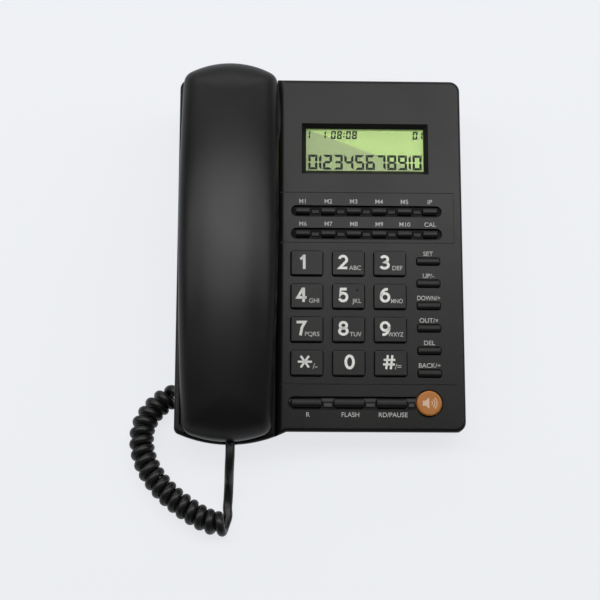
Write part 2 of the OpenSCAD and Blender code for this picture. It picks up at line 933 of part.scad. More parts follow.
// One push key: cap with rounded edges, retaining flange and stem
module push_key(place, w, l, r, edge_u, edge_v, rise, stem_d) {
    on_panel()
        translate([place.x, place.y, 0]) {
            intersection() {
                translate([0, 0, -flange_top])
                    linear_extrude(flange_top + rise)
                        rounded_rect(w + eps, l + eps, r);
                translate([0, l, rise])
                    rotate([90, 0, 0])
                        linear_extrude(2 * l)
                            rounded_top(w, deep, edge_u);
                translate([-w, 0, rise])
                    rotate([90, 0, 90])
                        linear_extrude(2 * w)
                            rounded_top(l, deep, edge_v);
            }
            translate([0, 0, -flange_top - flange_t])
                linear_extrude(flange_t)
                    rounded_rect(w + 2 * key_gap + 1, l + 2 * key_gap + 1, 1);
            translate([0, 0, -stem_end])
                cylinder(d = stem_d, h = stem_end - flange_top - flange_t / 2);
        }
}

module dial_key(i) {
    color(key_black)
        push_key(dial_place(i), dial_w, dial_l, 1.6, 0.7, 0.7, dial_rise, 6);
}

module memory_key(i) {
    color(key_black)
        push_key(memory_place(i), memory_w, small_l, 1, 0.6, small_l * 0.42, small_rise, 3);
}

module function_key(i) {
    color(key_black)
        push_key(function_place(i), function_w, small_l, 1, 0.6, small_l * 0.42, small_rise, 3);
}

module long_key(i) {
    color(key_black)
        push_key(long_place(i), long_w, long_l, 1, 0.6, long_l * 0.4, small_rise, 3.6);
}

module speaker_button() {
    color([0.8, 0.45, 0.16])
    on_panel()
        translate([speaker_place.x, speaker_place.y, 0]) {
            translate([0, 0, dial_rise])
                rotate_extrude()
                    half_rounded_top(speaker_d / 2, dial_rise + flange_top, 1);
            translate([0, 0, -flange_top - flange_t])
                cylinder(d = speaker_d + 2 * key_gap + 1.2, h = flange_t);
            translate([0, 0, -stem_end])
                cylinder(d = 6, h = stem_end - flange_top - flange_t / 2);
        }
}

// Handset forms: a plan outline is drawn in towards a middle line, ring by ring

// Half width of the handset at place b along it, least at the mouth end
function half_width(b) = handset_w / 2
    - handset_taper / 2 * pow((b - handset_l / 8) / (handset_l / 2 + handset_l / 8), 2);

// Height of the arched back, of the parting line and of the inner side, at place b
function back_w(b) = handset_rise - arch_r + sqrt(arch_r * arch_r - b * b);
function parting_w(b) = back_w(b) - crown_h;
function inner_w(b) = let (reach = handset_l / 2 - cap_l)
    cap_w + (abs(b) < reach ? grip_h * pow(cos(90 * b / reach), 2) : 0);

// Corner circle between an end curve and the side, at the mouth end s = -1 or the ear end s = 1
function end_r(s) = s > 0 ? ear_end_r : mouth_end_r;
function corner_middle(s) = let (hw = half_width(s * (handset_l / 2 - handset_corner_r)))
    [hw - handset_corner_r, s * (handset_l / 2 - end_r(s)
        + sqrt(pow(end_r(s) - handset_corner_r, 2) - pow(hw - handset_corner_r, 2)))];
function corner_start(s) = let (c = corner_middle(s))
    atan2(abs(c.y) - handset_l / 2 + end_r(s), c.x);
function end_points(s, n) = [for (k = [0:n - 1])
    let (a = 90 - (90 - corner_start(s)) * k / n)
        [end_r(s) * cos(a), s * (handset_l / 2 - end_r(s) + end_r(s) * sin(a))]];
function corner_points(s, n) = let (c = corner_middle(s)) [for (k = [0:n - 1])
    let (a = corner_start(s) * (1 - k / n))
        c + handset_corner_r * [cos(a), s * sin(a)]];
function side_points(n) = let (b0 = corner_middle(-1).y, b1 = corner_middle(1).y) [for (k = [0:n])
    let (b = b0 + (b1 - b0) * k / n) [half_width(b), b]];
function reversed(p) = [for (i = [len(p) - 1:-1:0]) p[i]];

// Right half of the plan from the mouth end's tip to the ear end's tip, then the whole ring
plan_half = concat(end_points(-1, 5), corner_points(-1, 4), side_points(20),
    reversed(corner_points(1, 4)), reversed(end_points(1, 5)));
plan_ring = concat(plan_half, [for (i = [len(plan_half) - 2:-1:1]) [-plan_half[i].x, plan_half[i].y]]);

// Ring of the plan drawn in by factor s towards the middle line
function drawn_in(s) = [for (p = plan_ring)
    let (m = max(-spine_end, min(spine_end, p.y))) [p.x * s, m + (p.y - m) * s]];

// Rings of the crowned back: an oval section with flattened top
back_steps = [0, 12, 26, 42, 58, 72, 83];
back_rings = [for (a = back_steps)
    let (s = pow(cos(a), 0.88), h = pow(sin(a), 0.88) * crown_h)
        [for (p = drawn_in(s)) [p.x, p.y, parting_w(p.y) + h]]];

// Rings of the inner side: drawn in by the draft, then round to the flat caps
inner_steps = [0, 0.3, 0.6, 0.82, 0.95, 1];
inner_rings = [for (d = inner_steps)
    let (s = (1 - handset_draft * d) * pow(1 - 0.9 * pow(d, 6), 0.1))
        [for (p = drawn_in(s)) [p.x, p.y, parting_w(p.y) * (1 - d) + inner_w(p.y) * d]]];

// Solid skinned over a stack of rings, closed across the first and the last one
module skin(rings, flip) {
    n = len(rings[0]);
    half = n / 2;
    last = (len(rings) - 1) * n;
    walls = [for (j = [0:len(rings) - 2]) for (i = [0:n - 1])
        let (a = j * n + i, b = j * n + (i + 1) % n)
            each [[a, a + n, b], [b, a + n, b + n]]];
    lid = [for (i = [0:half - 1])
        let (a = i, b = i + 1, c = (n - i - 1) % n, d = (n - i) % n)
            each [if (b != c) [a, b, c], if (a != d) [a, c, d]]];
    floor_lid = [for (f = lid) [for (i = f) i + last]];
    faces = concat(walls, lid, [for (f = floor_lid) reversed(f)]);
    polyhedron(
        points = [for (r = rings) each r],
        faces = flip ? [for (f = faces) reversed(f)] : faces,
        convexity = 6);
}

module in_handset() {
    on_panel()
        translate([handset_u, handset_v, 0])
            children();
}

receiver_b = handset_l / 2 - cap_l / 2 - 2;
mouth_b = -receiver_b;
cap_t = 2;
receiver_h = 8.5;
handset_mic_b = mouth_b + 4;
weight_size = [18, 60, 5.5];
weight_w = parting_w(0) + clearance;
handset_screw_b = 38;
handset_screw_w = inner_w(handset_screw_b) + 4;
handset_screw_d = 2.6;
handset_screw_l = 20;
handset_head_d = 5.6;
handset_head_t = 2;

module handset_top() {
    color(black)
    in_handset()
        difference() {
            skin(back_rings, false);
            translate([-weight_size.x / 2 - clearance, -weight_size.y / 2 - clearance, 0])
                cube([
                    weight_size.x + 2 * clearance, weight_size.y + 2 * clearance,
                    weight_w + weight_size.z]);
            for (s = [-1, 1])
                translate([0, s * handset_screw_b, 0])
                    cylinder(d = handset_screw_d, h = handset_screw_w + handset_screw_l - handset_head_t);
        }
}

module handset_bottom() {
    color(black)
    in_handset()
        difference() {
            skin(inner_rings, true);
            translate([0, receiver_b, cap_w + cap_t])
                cylinder(d = receiver_d + 2 * clearance, h = 40);
            translate([0, handset_mic_b, cap_w + cap_t])
                cylinder(d = mic_d + 2 * clearance, h = 40);
            for (k = [0:6])
                translate([
                    k == 0 ? 0 : 6 * cos(60 * k), receiver_b + (k == 0 ? 0 : 6 * sin(60 * k)), cap_w - 1])
                    cylinder(d = 2, h = cap_t + 2);
            for (k = [-1:1])
                translate([k * 3, handset_mic_b, cap_w - 1])
                    cylinder(d = 1.8, h = cap_t + 2);
            for (s = [-1, 1])
                translate([0, s * handset_screw_b, 0]) {
                    translate([0, 0, cap_w - 1])
                        cylinder(d = handset_screw_d + 0.6, h = 60);
                    translate([0, 0, cap_w - 1])
                        cylinder(d = handset_head_d + 0.8, h = handset_screw_w - cap_w + 1);
                }
            translate([socket_shift - socket_span.x / 2, -handset_l / 2 - 5, socket_w - socket_span.y / 2])
                cube([socket_span.x, 5 + socket_sink + jack_l, socket_span.y]);
        }
}

module ear_receiver() {
    color([0.55, 0.55, 0.55])
    in_handset()
        translate([0, receiver_b, cap_w + cap_t])
            rotate_extrude()
                polygon([
                    [0, 0], [receiver_d / 2, 0], [receiver_d / 2, 3], [receiver_d / 2 - 2, 3],
                    [receiver_d / 2 - 5, receiver_h], [0, receiver_h]]);
}

module handset_mic() {
    color([0.7, 0.7, 0.7])
    in_handset()
        translate([0, handset_mic_b, cap_w + cap_t])
            cylinder(d = mic_d, h = mic_h);
}

module handset_weight() {
    color([0.5, 0.5, 0.52])
    in_handset()
        translate([-weight_size.x / 2, -weight_size.y / 2, weight_w])
            cube(weight_size);
}

module handset_screws() {
    color([0.6, 0.6, 0.62])
    in_handset()
        for (s = [-1, 1])
            translate([0, s * handset_screw_b, handset_screw_w - handset_head_t]) {
                cylinder(d = handset_head_d, h = handset_head_t);
                cylinder(d = handset_screw_d, h = handset_screw_l);
            }
}

// Cord

curl_r = (curl_d - cord_d) / 2;
curl_z = curl_d / 2 + 0.2;
rings_per_curl = 8;

// Smooth curve through a list of points; t counts segments
function spline(p, t) = let (
    n = len(p) - 1,
    k = max(0, min(n - 1, floor(t))),
    f = t - k,
    b = p[k],
    c = p[k + 1],
    a = k > 0 ? p[k - 1] : 2 * b - c,
    d = k < n - 1 ? p[k + 2] : 2 * c - b)
    b + 0.5 * f * (c - a + f * (2 * a - 5 * b + 4 * c - d + f * (3 * (b - c) + d - a)));
function unit(v) = v / norm(v);
function smooth(t) = let (x = max(0, min(1, t))) x * x * (3 - 2 * x);

// Middle of the curly cord at share s of its length: round the route, then in to the plug's axis
curl_end = [plug_x - 2 * cord_d, pocket_y];
curl_path = concat(curl_route, [curl_end]);
segments = len(curl_path) - 1;
samples = 20 * segments;
sample_steps = [for (i = [1:samples])
    norm(spline(curl_path, i * segments / samples) - spline(curl_path, (i - 1) * segments / samples))];
sample_ends = [for (i = 0, sum = 0; i <= samples; sum = sum + (i < samples ? sample_steps[i] : 0), i = i + 1)
    [sum, i * segments / samples]];
curl_length = sample_ends[samples][0];
function curl_middle(s) = spline(curl_path, lookup(s * curl_length, sample_ends));
function curl_heading(s) = unit(curl_middle(min(1, s + 0.004)) - curl_middle(max(0, s - 0.004)));
function curl_radial(s) = let (h = curl_heading(s), a = -90 + 360 * curls * s)
    [-h.y * cos(a), h.x * cos(a), sin(a)];
function curl_point(s) = let (m = curl_middle(s), fade = 1 - smooth((s - 1) * curls + 1))
    [m.x, m.y, curl_z + (jack_z - curl_z) * (1 - fade)] + curl_r * fade * curl_radial(s);
curl_count = curls * rings_per_curl;
curl_tangent = let (h = curl_heading(0), round = 2 * PI * curl_r * curls)
    unit([h.x * curl_length - h.y * round, h.y * curl_length + h.x * round, 0]);
curl_points = concat(
    [curl_point(0) - cord_d * curl_tangent],
    [for (i = [0:curl_count]) curl_point(i / curl_count)],
    [[plug_x - cord_d, pocket_y, jack_z], [plug_x, pocket_y, jack_z]]);
curl_outs = concat(
    [curl_radial(0)],
    [for (i = [0:curl_count]) curl_radial(i / curl_count)],
    [curl_radial(1), curl_radial(1)]);

// Straight lead from the handset's plug to the first curl
function from_panel(u, v, w) = [u, panel_y + v * cos(panel_tilt) - w * sin(panel_tilt),
    panel_z + v * sin(panel_tilt) + w * cos(panel_tilt)];
lead_start = from_panel(socket_u, boot_v, socket_w);
lead_second = from_panel(socket_u, boot_v - lead_d, socket_w);
lead_points = concat([lead_start, lead_second], lead_route, [curl_points[0]]);

// Least gap of the curly cord to itself, on the rings' middles farther apart along it than three diameters
cord_steps = [for (i = [1:len(curl_points) - 1]) norm(curl_points[i] - curl_points[i - 1])];
cord_places = [for (i = 0, sum = 0; i < len(curl_points);
    sum = sum + (i < len(cord_steps) ? cord_steps[i] : 0), i = i + 1) sum];
curl_gap = min([for (i = [0:len(curl_points) - 2]) for (j = [i + 1:len(curl_points) - 1])
    if (cord_places[j] - cord_places[i] > 3 * cord_d) norm(curl_points[i] - curl_points[j])]) - cord_d;
echo("least gap of the cord to itself", curl_gap);
echo("length of the curly cord", cord_places[len(cord_places) - 1]);

// Tube along a path; out gives a direction across the path at each point, widths the diameters
module tube(path, out, ends, sides, widths) {
    count = len(path);
    rings = [for (i = [0:count - 1])
        let (
            t = i == 0 ? ends[0] : i == count - 1 ? ends[1] : unit(path[i + 1] - path[i - 1]),
            x = unit(out[i] - (out[i] * t) * t),
            y = cross(t, x))
            [for (k = [0:sides - 1])
                path[i] + widths[i] / 2 * (x * cos(360 * k / sides) + y * sin(360 * k / sides))]];
    walls = [for (j = [0:count - 2]) for (k = [0:sides - 1])
        let (a = j * sides + k, b = j * sides + (k + 1) % sides)
            each [[a, a + sides, b], [b, a + sides, b + sides]]];
    caps = [for (k = [1:sides - 2])
        let (z = (count - 1) * sides) each [[0, k, k + 1], [z, z + k + 1, z + k]]];
    polyhedron(
        points = [for (r = rings) each r],
        faces = concat(walls, caps),
        convexity = 10);
}

module coil_cord() {
    color([0.07, 0.07, 0.07])
        tube(curl_points, curl_outs, [curl_tangent, [1, 0, 0]], 6, [for (p = curl_points) cord_d]);
}

module cord_lead() {
    color([0.07, 0.07, 0.07])
        tube(lead_points, [for (p = lead_points) [1, 0, 0]],
            [unit(lead_second - lead_start), curl_tangent], 8,
            [for (i = [0:len(lead_points) - 1]) i < len(lead_points) - 1 ? lead_d : cord_d]);
}

base_top();
base_bottom();
feet();
base_screws();
lcd_lens();
lcd_module();
main_board();
key_mat();
loudspeaker();
base_mic();
line_jack();
cord_jack();
hook_switch();
hook_plunger();
speaker_button();
handset_top();
handset_bottom();
ear_receiver();
handset_mic();
handset_weight();
handset_socket();
handset_screws();
coil_cord();
cord_lead();
base_plug();
handset_plug();
for (i = [0:11]) dial_key(i);
for (i = [0:11]) memory_key(i);
for (i = [0:5]) function_key(i);
for (i = [0:2]) long_key(i);
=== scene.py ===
import math

import bpy
import numpy as np
from bpy.props import FloatProperty, FloatVectorProperty, IntProperty, PointerProperty
from mathutils import Matrix, Vector


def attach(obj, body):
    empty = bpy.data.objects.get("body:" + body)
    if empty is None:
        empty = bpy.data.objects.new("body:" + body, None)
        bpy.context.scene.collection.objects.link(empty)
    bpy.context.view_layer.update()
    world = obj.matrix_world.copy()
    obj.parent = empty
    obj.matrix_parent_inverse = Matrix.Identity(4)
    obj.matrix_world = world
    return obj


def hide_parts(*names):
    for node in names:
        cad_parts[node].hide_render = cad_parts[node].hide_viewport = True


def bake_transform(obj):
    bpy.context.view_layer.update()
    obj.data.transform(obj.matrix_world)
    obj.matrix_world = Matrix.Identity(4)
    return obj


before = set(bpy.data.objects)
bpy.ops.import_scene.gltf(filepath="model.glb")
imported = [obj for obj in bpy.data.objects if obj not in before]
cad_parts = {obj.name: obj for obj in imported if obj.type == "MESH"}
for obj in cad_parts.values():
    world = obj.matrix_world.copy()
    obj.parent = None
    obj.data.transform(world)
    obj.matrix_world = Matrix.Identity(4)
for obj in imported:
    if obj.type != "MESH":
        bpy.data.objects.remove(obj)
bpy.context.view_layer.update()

bl_info = {
    "name": "Corded Desk Telephone",
    "version": (1, 0, 0),
    "blender": (4, 5, 0),
    "location": "View3D > Sidebar > Telephone",
    "description": "Dresses the desk telephone: finishes, lettering, display, handset and curly cord",
    "category": "Object",
}

MM = 0.001


def number(name, description, default, **limits):
    """A number, or three of them in a row."""
    kind = FloatVectorProperty if hasattr(default, "__len__") else FloatProperty
    return kind(name=name, description=description, default=default, **limits)


def measure(name, description, millimetres):
    """A size in metres, given in millimetres."""
    return number(name, description, millimetres * MM, unit="LENGTH", precision=5)


def paint(name, description, srgb):
    """A colour given as 0-255 display values and kept as the linear values of shaders."""
    linear = [((c / 255 + 0.055) / 1.055) ** 2.4 if c > 10 else c / 255 / 12.92 for c in srgb]
    return number(name, description, linear, subtype="COLOR", min=0.0, max=1.0)


class TelephoneSizes(bpy.types.PropertyGroup):
    """Sizes of the pieces that are made here, the same as those of the solids."""
    panel_tilt: number("Panel slope", "Slope of the key panel", math.radians(8), subtype="ANGLE")
    panel_y: measure("Panel origin, depth", "Place of the panel's middle along Y", 0.007)
    panel_z: measure("Panel origin, height", "Height of the panel's middle", 35.34)
    handset_u: measure("Handset middle, across", "Middle of the handset across the panel", -48.35)
    handset_v: measure("Handset middle, along", "Middle of the handset along the panel", 0.25)
    handset_length: measure("Handset length", "Length of the handset", 204)
    handset_width: measure("Handset width", "Largest width of the handset", 51.8)
    handset_taper: measure("Handset taper", "Narrowing at the mouth end", 6)
    arch_drop: measure("Arch drop", "Fall of the handset's back from its middle to its ends", 15.9)
    handset_rise: measure("Handset rise", "Height of the handset's back above the panel", 33)
    crown_height: measure("Crown height", "Height of the outer shell", 12.7)
    ear_radius: measure("Ear end radius", "Radius of the ear end in plan", 42)
    mouth_radius: measure("Mouth end radius", "Radius of the mouth end in plan", 54)
    corner_radius: measure("Corner radius", "Radius of the handset's corners in plan", 7)
    cap_length: measure("Cap length", "Length of the flat ear and mouth caps", 44)
    cap_depth: measure("Cap depth", "Depth of the caps' faces below the panel", 5.5)
    grip_height: measure("Grip height", "Clear height of the grip above the caps' faces", 16.5)
    socket_u: measure("Cord socket, across", "Place of the cord at the handset, across", -46.65)
    boot_v: measure("Cord boot, along", "Where the cord leaves its boot, along the panel", -102.95)
    boot_w: measure("Cord boot, height", "Height of the cord's boot above the panel", 0.28)
    cord_diameter: measure("Cord diameter", "Diameter of the cord", 4.9)
    curl_diameter: measure("Curl diameter", "Outer diameter of the curls", 13.2)
    curls: IntProperty(name="Curls", description="Number of curls", default=19, min=4, max=40)
    numeral_stroke: measure("Numeral stroke", "Stroke width of the numerals on the dial keys", 1.4)
    sign_stroke: measure("Sign stroke", "Stroke width of the star and the hash", 1.1)
    letter_height: measure("Letter height", "Height of the small letters on the dial keys", 2.4)
    label_height: measure("Label height", "Height of the words on the panel", 2.5)
    ink_depth: measure("Ink thickness", "Thickness of the printed lettering", 0.05)


class TelephoneColours(bpy.types.PropertyGroup):
    """Colours of the finishes."""
    housing: paint("Housing", "Satin black of the base", (18, 18, 17))
    handset: paint("Handset", "Satin black of the handset", (15, 15, 15))
    keycap: paint("Keys", "Black of the keys", (18, 18, 17))
    lettering: paint("Lettering", "White of the printed numerals", (198, 199, 194))
    small_print: paint("Small print", "Grey of the small words", (158, 158, 155))
    button: paint("Button", "Orange of the speaker button", (150, 95, 41))
    icon: paint("Button sign", "Pale sign on the speaker button", (184, 154, 128))
    # Painted shade: the shaded colour covers the display below a slanting line. The lit colour stands for
    # the light across the rest of the glass.
    display_light: paint("Display, light", "Green of the display", (198, 230, 138))
    display_shade: paint("Display, shaded", "Shaded corner of the display", (170, 190, 128))
    segments: paint("Segments", "Dark segments of the display", (14, 22, 8))
    cord: paint("Cord", "Black of the cord", (20, 20, 20))
    # Painted shade: the slot colour blacks out the floors of the key slots, where their shade falls; the
    # finger dot on the middle key takes the same black.
    slot: paint("Slots", "Matt black in the key slots", (10, 10, 10))
    rubber: paint("Rubber", "Dark rubber of the feet", (24, 24, 24))
    metal: paint("Screw metal", "Zinc-plated steel", (168, 168, 172))
    contact: paint("Contacts", "Gold-plated contact wires", (212, 170, 84))
    board: paint("Board", "Green of the circuit board", (28, 92, 52))


class TelephoneStage(bpy.types.PropertyGroup):
    """Camera, light and floor."""
    camera_place: number("Camera place", "Where the camera stands",
                         (-0.02823, -0.26719, 0.72935), subtype="TRANSLATION")
    camera_forward: number("Camera aim", "Direction the camera looks in",
                           (0.02368, 0.32644, -0.94492), subtype="DIRECTION")
    camera_up: number("Camera up", "Direction that is up in the picture",
                      (-0.00695, 0.94522, 0.32637), subtype="DIRECTION")
    lens: number("Lens", "Focal length on a 36 mm wide sensor, in millimetres", 84.0, min=10, max=300)
    floor: paint("Floor", "Pale floor and backdrop", (238, 240, 244))
    softbox_power: number("Softbox", "Power of the overhead softbox", 31.5, unit="POWER")
    crown_power: number("Crown lamp", "Power of the small softbox on the handset's back", 3.5, unit="POWER")
    card_power: number("Rear card", "Power of the low card behind the telephone", 8.0, unit="POWER")
    fill: number("Fill", "Strength of the even light from all round", 0.08, min=0, max=2)
    backdrop: number("Backdrop", "Brightness of the floor behind the telephone", 0.97, min=0, max=2)


def sizes():
    return bpy.context.scene.telephone_sizes


def colours():
    return bpy.context.scene.telephone_colours


# Places on the sloping key panel

def panel_axes():
    """Axes of the key panel in rows (u right, v to the rear, w out of it) and its middle."""
    s = sizes()
    c, n = math.cos(s.panel_tilt), math.sin(s.panel_tilt)
    return np.array([[1, 0, 0], [0, c, n], [0, -n, c]]), np.array([0, s.panel_y, s.panel_z])


def from_panel(points):
    """Places u, v and w on the panel, in the shared frame."""
    axes, middle = panel_axes()
    return np.asarray(points, float) @ axes + middle


def mesh_points(mesh):
    """Places of a mesh's vertices, one in each row."""
    points = np.empty(len(mesh.vertices) * 3)
    mesh.vertices.foreach_get("co", points)
    return points.reshape(-1, 3)


def panel_box(node):
    """Lowest and highest u, v and w of a solid."""
    axes, middle = panel_axes()
    places = (mesh_points(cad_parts[node].data) - middle) @ axes.T
    return places.min(0), places.max(0)


def node_centre(node):
    """Middle of a solid on the panel, and the height of its top."""
    low, high = panel_box(node)
    return (low[0] + high[0]) / 2, (low[1] + high[1]) / 2, high[2]


# Mesh pieces

MITRE_LIMIT = 0.45
CAP_SHARE = 0.73


def unit(v):
    """Vectors in rows, each made one long."""
    return v / np.linalg.norm(v, axis=-1, keepdims=True)


def add_piece(name, points, faces, finish, body, smooth=True, flat_from=None):
    """A mesh from points and faces, on a body if one is named; faces from flat_from on are flat."""
    mesh = bpy.data.meshes.new(name)
    mesh.from_pydata(np.asarray(points).tolist(), [], [list(map(int, f)) for f in faces])
    shading = np.full(len(mesh.polygons), smooth)
    if flat_from is not None:
        shading[flat_from:] = False
    mesh.polygons.foreach_set("use_smooth", shading)
    mesh.materials.append(finish)
    mesh.validate()
    piece = bpy.data.objects.new(name, mesh)
    bpy.context.scene.collection.objects.link(piece)
    if body:
        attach(piece, body)
    return piece


def ring_walls(rings, count):
    """Quads between neighbouring rings of count points each."""
    j, i = np.meshgrid(np.arange(rings - 1), np.arange(count), indexing="ij")
    a = j * count + i
    b = j * count + (i + 1) % count
    return np.stack([a, b, b + count, a + count], -1).reshape(-1, 4)


def closed_stack(rings, count):
    """Faces of a stack of rings: its walls and a lid at both ends."""
    last = (rings - 1) * count
    lids = [list(range(count))[::-1], list(range(last, last + count))]
    return ring_walls(rings, count).tolist() + lids


def mirror_lid(count, first, flip):
    """Strips across a ring that is symmetric left and right."""
    i = np.arange(count // 2)
    strips = np.stack([i, i + 1, (count - i - 1) % count, (count - i) % count], -1)
    strips = strips[:, ::-1] if flip else strips
    cleaned = [list(dict.fromkeys(s)) for s in strips.tolist()]
    return [[k + first for k in s] for s in cleaned if len(s) > 2]


def join_parts(parts):
    """Points and faces of several meshes put into one list each."""
    points, faces, start = [], [], 0
    for p, f in parts:
        points.append(np.asarray(p, float).reshape(-1, 3))
        faces += [[k + start for k in face] for face in f]
        start += len(points[-1])
    return np.concatenate(points), faces


def rectangle(left, right, front, rear):
    """Outline of a rectangle in the plane."""
    return np.array([[left, front], [right, front], [right, rear], [left, rear]])


def prism(outline, low, high):
    """A closed outline in the plane, walled from one height to another."""
    count = len(outline)
    points = np.concatenate([np.c_[outline, np.full(count, level)] for level in (low, high)])
    return points, closed_stack(2, count)


def stroke(path, width, closed=False):
    """A band of even width along a flat path, mitred at its corners, as a thin closed plate."""
    p = np.asarray(path, float)
    if closed:
        before, after = np.roll(p, 1, 0), np.roll(p, -1, 0)
    else:
        before = np.concatenate([[2 * p[0] - p[1]], p[:-1]])
        after = np.concatenate([p[1:], [2 * p[-1] - p[-2]]])
    side_in = unit(p - before) @ np.array([[0, 1], [-1, 0]])
    side_out = unit(after - p) @ np.array([[0, 1], [-1, 0]])
    normal = unit(side_in + side_out)
    reach = width / 2 / np.maximum((normal * side_in).sum(-1, keepdims=True), MITRE_LIMIT)
    edges = [p - normal * reach, p + normal * reach]
    half = sizes().ink_depth / 2
    corners = [(edges[1], -half), (edges[0], -half), (edges[0], half), (edges[1], half)]
    points = np.stack([np.c_[e, np.full(len(p), h)] for e, h in corners], 1).reshape(-1, 3)
    if not closed:
        return points, closed_stack(len(p), 4)
    last = 4 * (len(p) - 1)
    ends = [[last + k, last + (k + 1) % 4, (k + 1) % 4, k] for k in range(4)]
    return points, ring_walls(len(p), 4).tolist() + ends


def evaluated_mesh(piece):
    """A new mesh of a piece as it is seen, with its modifiers or its text worked out."""
    bpy.context.view_layer.update()
    return bpy.data.meshes.new_from_object(piece.evaluated_get(bpy.context.evaluated_depsgraph_get()))


def lettering(text, height, weight=0.0, align="CENTER", widest=1.0):
    """A word as a thin closed plate at the origin; weight thickens it, a wide word is drawn narrower."""
    curve = bpy.data.curves.new("word", "FONT")
    curve.body = text
    curve.size = height / CAP_SHARE
    curve.offset = weight * height
    curve.extrude = sizes().ink_depth / 2
    curve.align_x = align
    curve.resolution_u = 6
    word = bpy.data.objects.new("word", curve)
    bpy.context.scene.collection.objects.link(word)
    mesh = evaluated_mesh(word)
    points = mesh_points(mesh)
    points[:, 0] *= min(1.0, widest / np.ptp(points[:, 0]))
    points[:, 1] -= height / 2
    faces = [list(p.vertices) for p in mesh.polygons]
    bpy.data.objects.remove(word)
    bpy.data.curves.remove(curve)
    bpy.data.meshes.remove(mesh)
    return points, faces


def placed(part, u, v, w):
    """A flat part moved to a place on the panel, its underside on the surface there."""
    points, faces = part
    return from_panel(points + [u, v, w + sizes().ink_depth / 2]), faces


# Finishes

class Finish:
    """A node material: a shader, object coordinates and the textures that feed it."""

    def __init__(self, name, colour, roughness, **sockets):
        self.material = bpy.data.materials.new(name)
        self.material.use_nodes = True
        self.tree = self.material.node_tree
        self.shader = self.tree.nodes["Principled BSDF"]
        self.shader.inputs["Base Color"].default_value = (*colour, 1)
        self.shader.inputs["Roughness"].default_value = roughness
        for socket, value in sockets.items():
            self.shader.inputs[socket.replace("_", " ")].default_value = value
        self.place = self.add("ShaderNodeTexCoord").outputs["Object"]

    def add(self, kind, **settings):
        node = self.tree.nodes.new(kind)
        for key, value in settings.items():
            setattr(node, key, value)
        return node

    def link(self, output, target):
        self.tree.links.new(output, target)

    def compute(self, kind, operation, output, first, second):
        """A node that computes with an output of another node and a second one or a value."""
        node = self.add(kind, operation=operation)
        self.link(first, node.inputs[0])
        if isinstance(second, bpy.types.NodeSocket):
            self.link(second, node.inputs[1])
        else:
            node.inputs[1].default_value = second
        return node.outputs[output]

    def noise(self, scale, detail=3.0):
        node = self.add("ShaderNodeTexNoise")
        node.inputs["Scale"].default_value = scale
        node.inputs["Detail"].default_value = detail
        self.link(self.place, node.inputs["Vector"])
        return node.outputs["Fac"]

    def ramp(self, value, low, high, start=0.3, stop=0.7):
        """A value spread from one number or colour to another."""
        node = self.add("ShaderNodeValToRGB")
        for element, at, level in zip(node.color_ramp.elements, (start, stop), (low, high)):
            element.position = at
            element.color = (*level, 1) if hasattr(level, "__len__") else (level, level, level, 1)
        self.link(value, node.inputs["Fac"])
        return node.outputs["Color"]

    def vary_colour(self, colour, spread, scale):
        """Slow patches a little darker and lighter than the colour."""
        base = np.asarray(colour[:])
        tint = self.ramp(self.noise(scale), base * (1 - spread), base * (1 + spread))
        self.link(tint, self.shader.inputs["Base Color"])

    def vary_roughness(self, low, high, scale):
        self.link(self.ramp(self.noise(scale, 4.0), low, high), self.shader.inputs["Roughness"])

    def grain(self, scale, strength, distance):
        """Fine moulded grain as a bump."""
        bump = self.add("ShaderNodeBump")
        bump.inputs["Strength"].default_value = strength
        bump.inputs["Distance"].default_value = distance
        self.link(self.noise(scale, 2.0), bump.inputs["Height"])
        self.link(bump.outputs["Normal"], self.shader.inputs["Normal"])


def satin_plastic(name, colour, rough=0.42, grain=0.12, sheen=0.28):
    """Black moulded plastic: grain, soft sheen, faint patches where hands rub it smoother."""
    finish = Finish(name, colour, rough, Specular_IOR_Level=sheen)
    finish.vary_colour(colour, 0.10, 28)
    finish.vary_roughness(rough - 0.05, rough + 0.06, 16)
    finish.grain(2600, grain, 0.0002)
    return finish.material


def printed_ink(name, colour, sheen=0.3):
    """Screen-printed ink: thin, slightly uneven in cover."""
    finish = Finish(name, colour, 0.5, Specular_IOR_Level=sheen)
    finish.vary_colour(colour, 0.08, 900)
    finish.vary_roughness(0.45, 0.6, 300)
    return finish.material


def gloss_plastic(name, colour, rough=0.3, sheen=0.5):
    """Smooth coloured plastic with a faint mottle."""
    finish = Finish(name, colour, rough, Specular_IOR_Level=sheen)
    finish.vary_colour(colour, 0.06, 160)
    finish.vary_roughness(rough - 0.06, rough + 0.08, 60)
    finish.grain(1800, 0.08, 0.0001)
    return finish.material


def soft_rubber(name, colour, rough=0.75):
    """Matt rubber with a dusty, uneven surface; the same finish makes the black strips of painted shade in
    the key slots.
    """
    finish = Finish(name, colour, rough, Specular_IOR_Level=0.3)
    finish.vary_colour(colour, 0.2, 120)
    finish.vary_roughness(rough - 0.1, rough + 0.1, 200)
    finish.grain(900, 0.25, 0.0002)
    return finish.material


def plated_metal(name, colour, rough=0.3):
    """Plated metal with fine drawn streaks."""
    finish = Finish(name, colour, rough, Metallic=1.0)
    finish.vary_colour(colour, 0.1, 240)
    finish.vary_roughness(rough - 0.08, rough + 0.12, 700)
    return finish.material


def clear_lens(name):
    """Clear hard-coated window: nearly see-through, with a faint haze."""
    finish = Finish(name, (0.9, 0.96, 0.9), 0.06, Specular_IOR_Level=0.3, Alpha=0.03)
    finish.vary_roughness(0.04, 0.08, 90)
    return finish.material


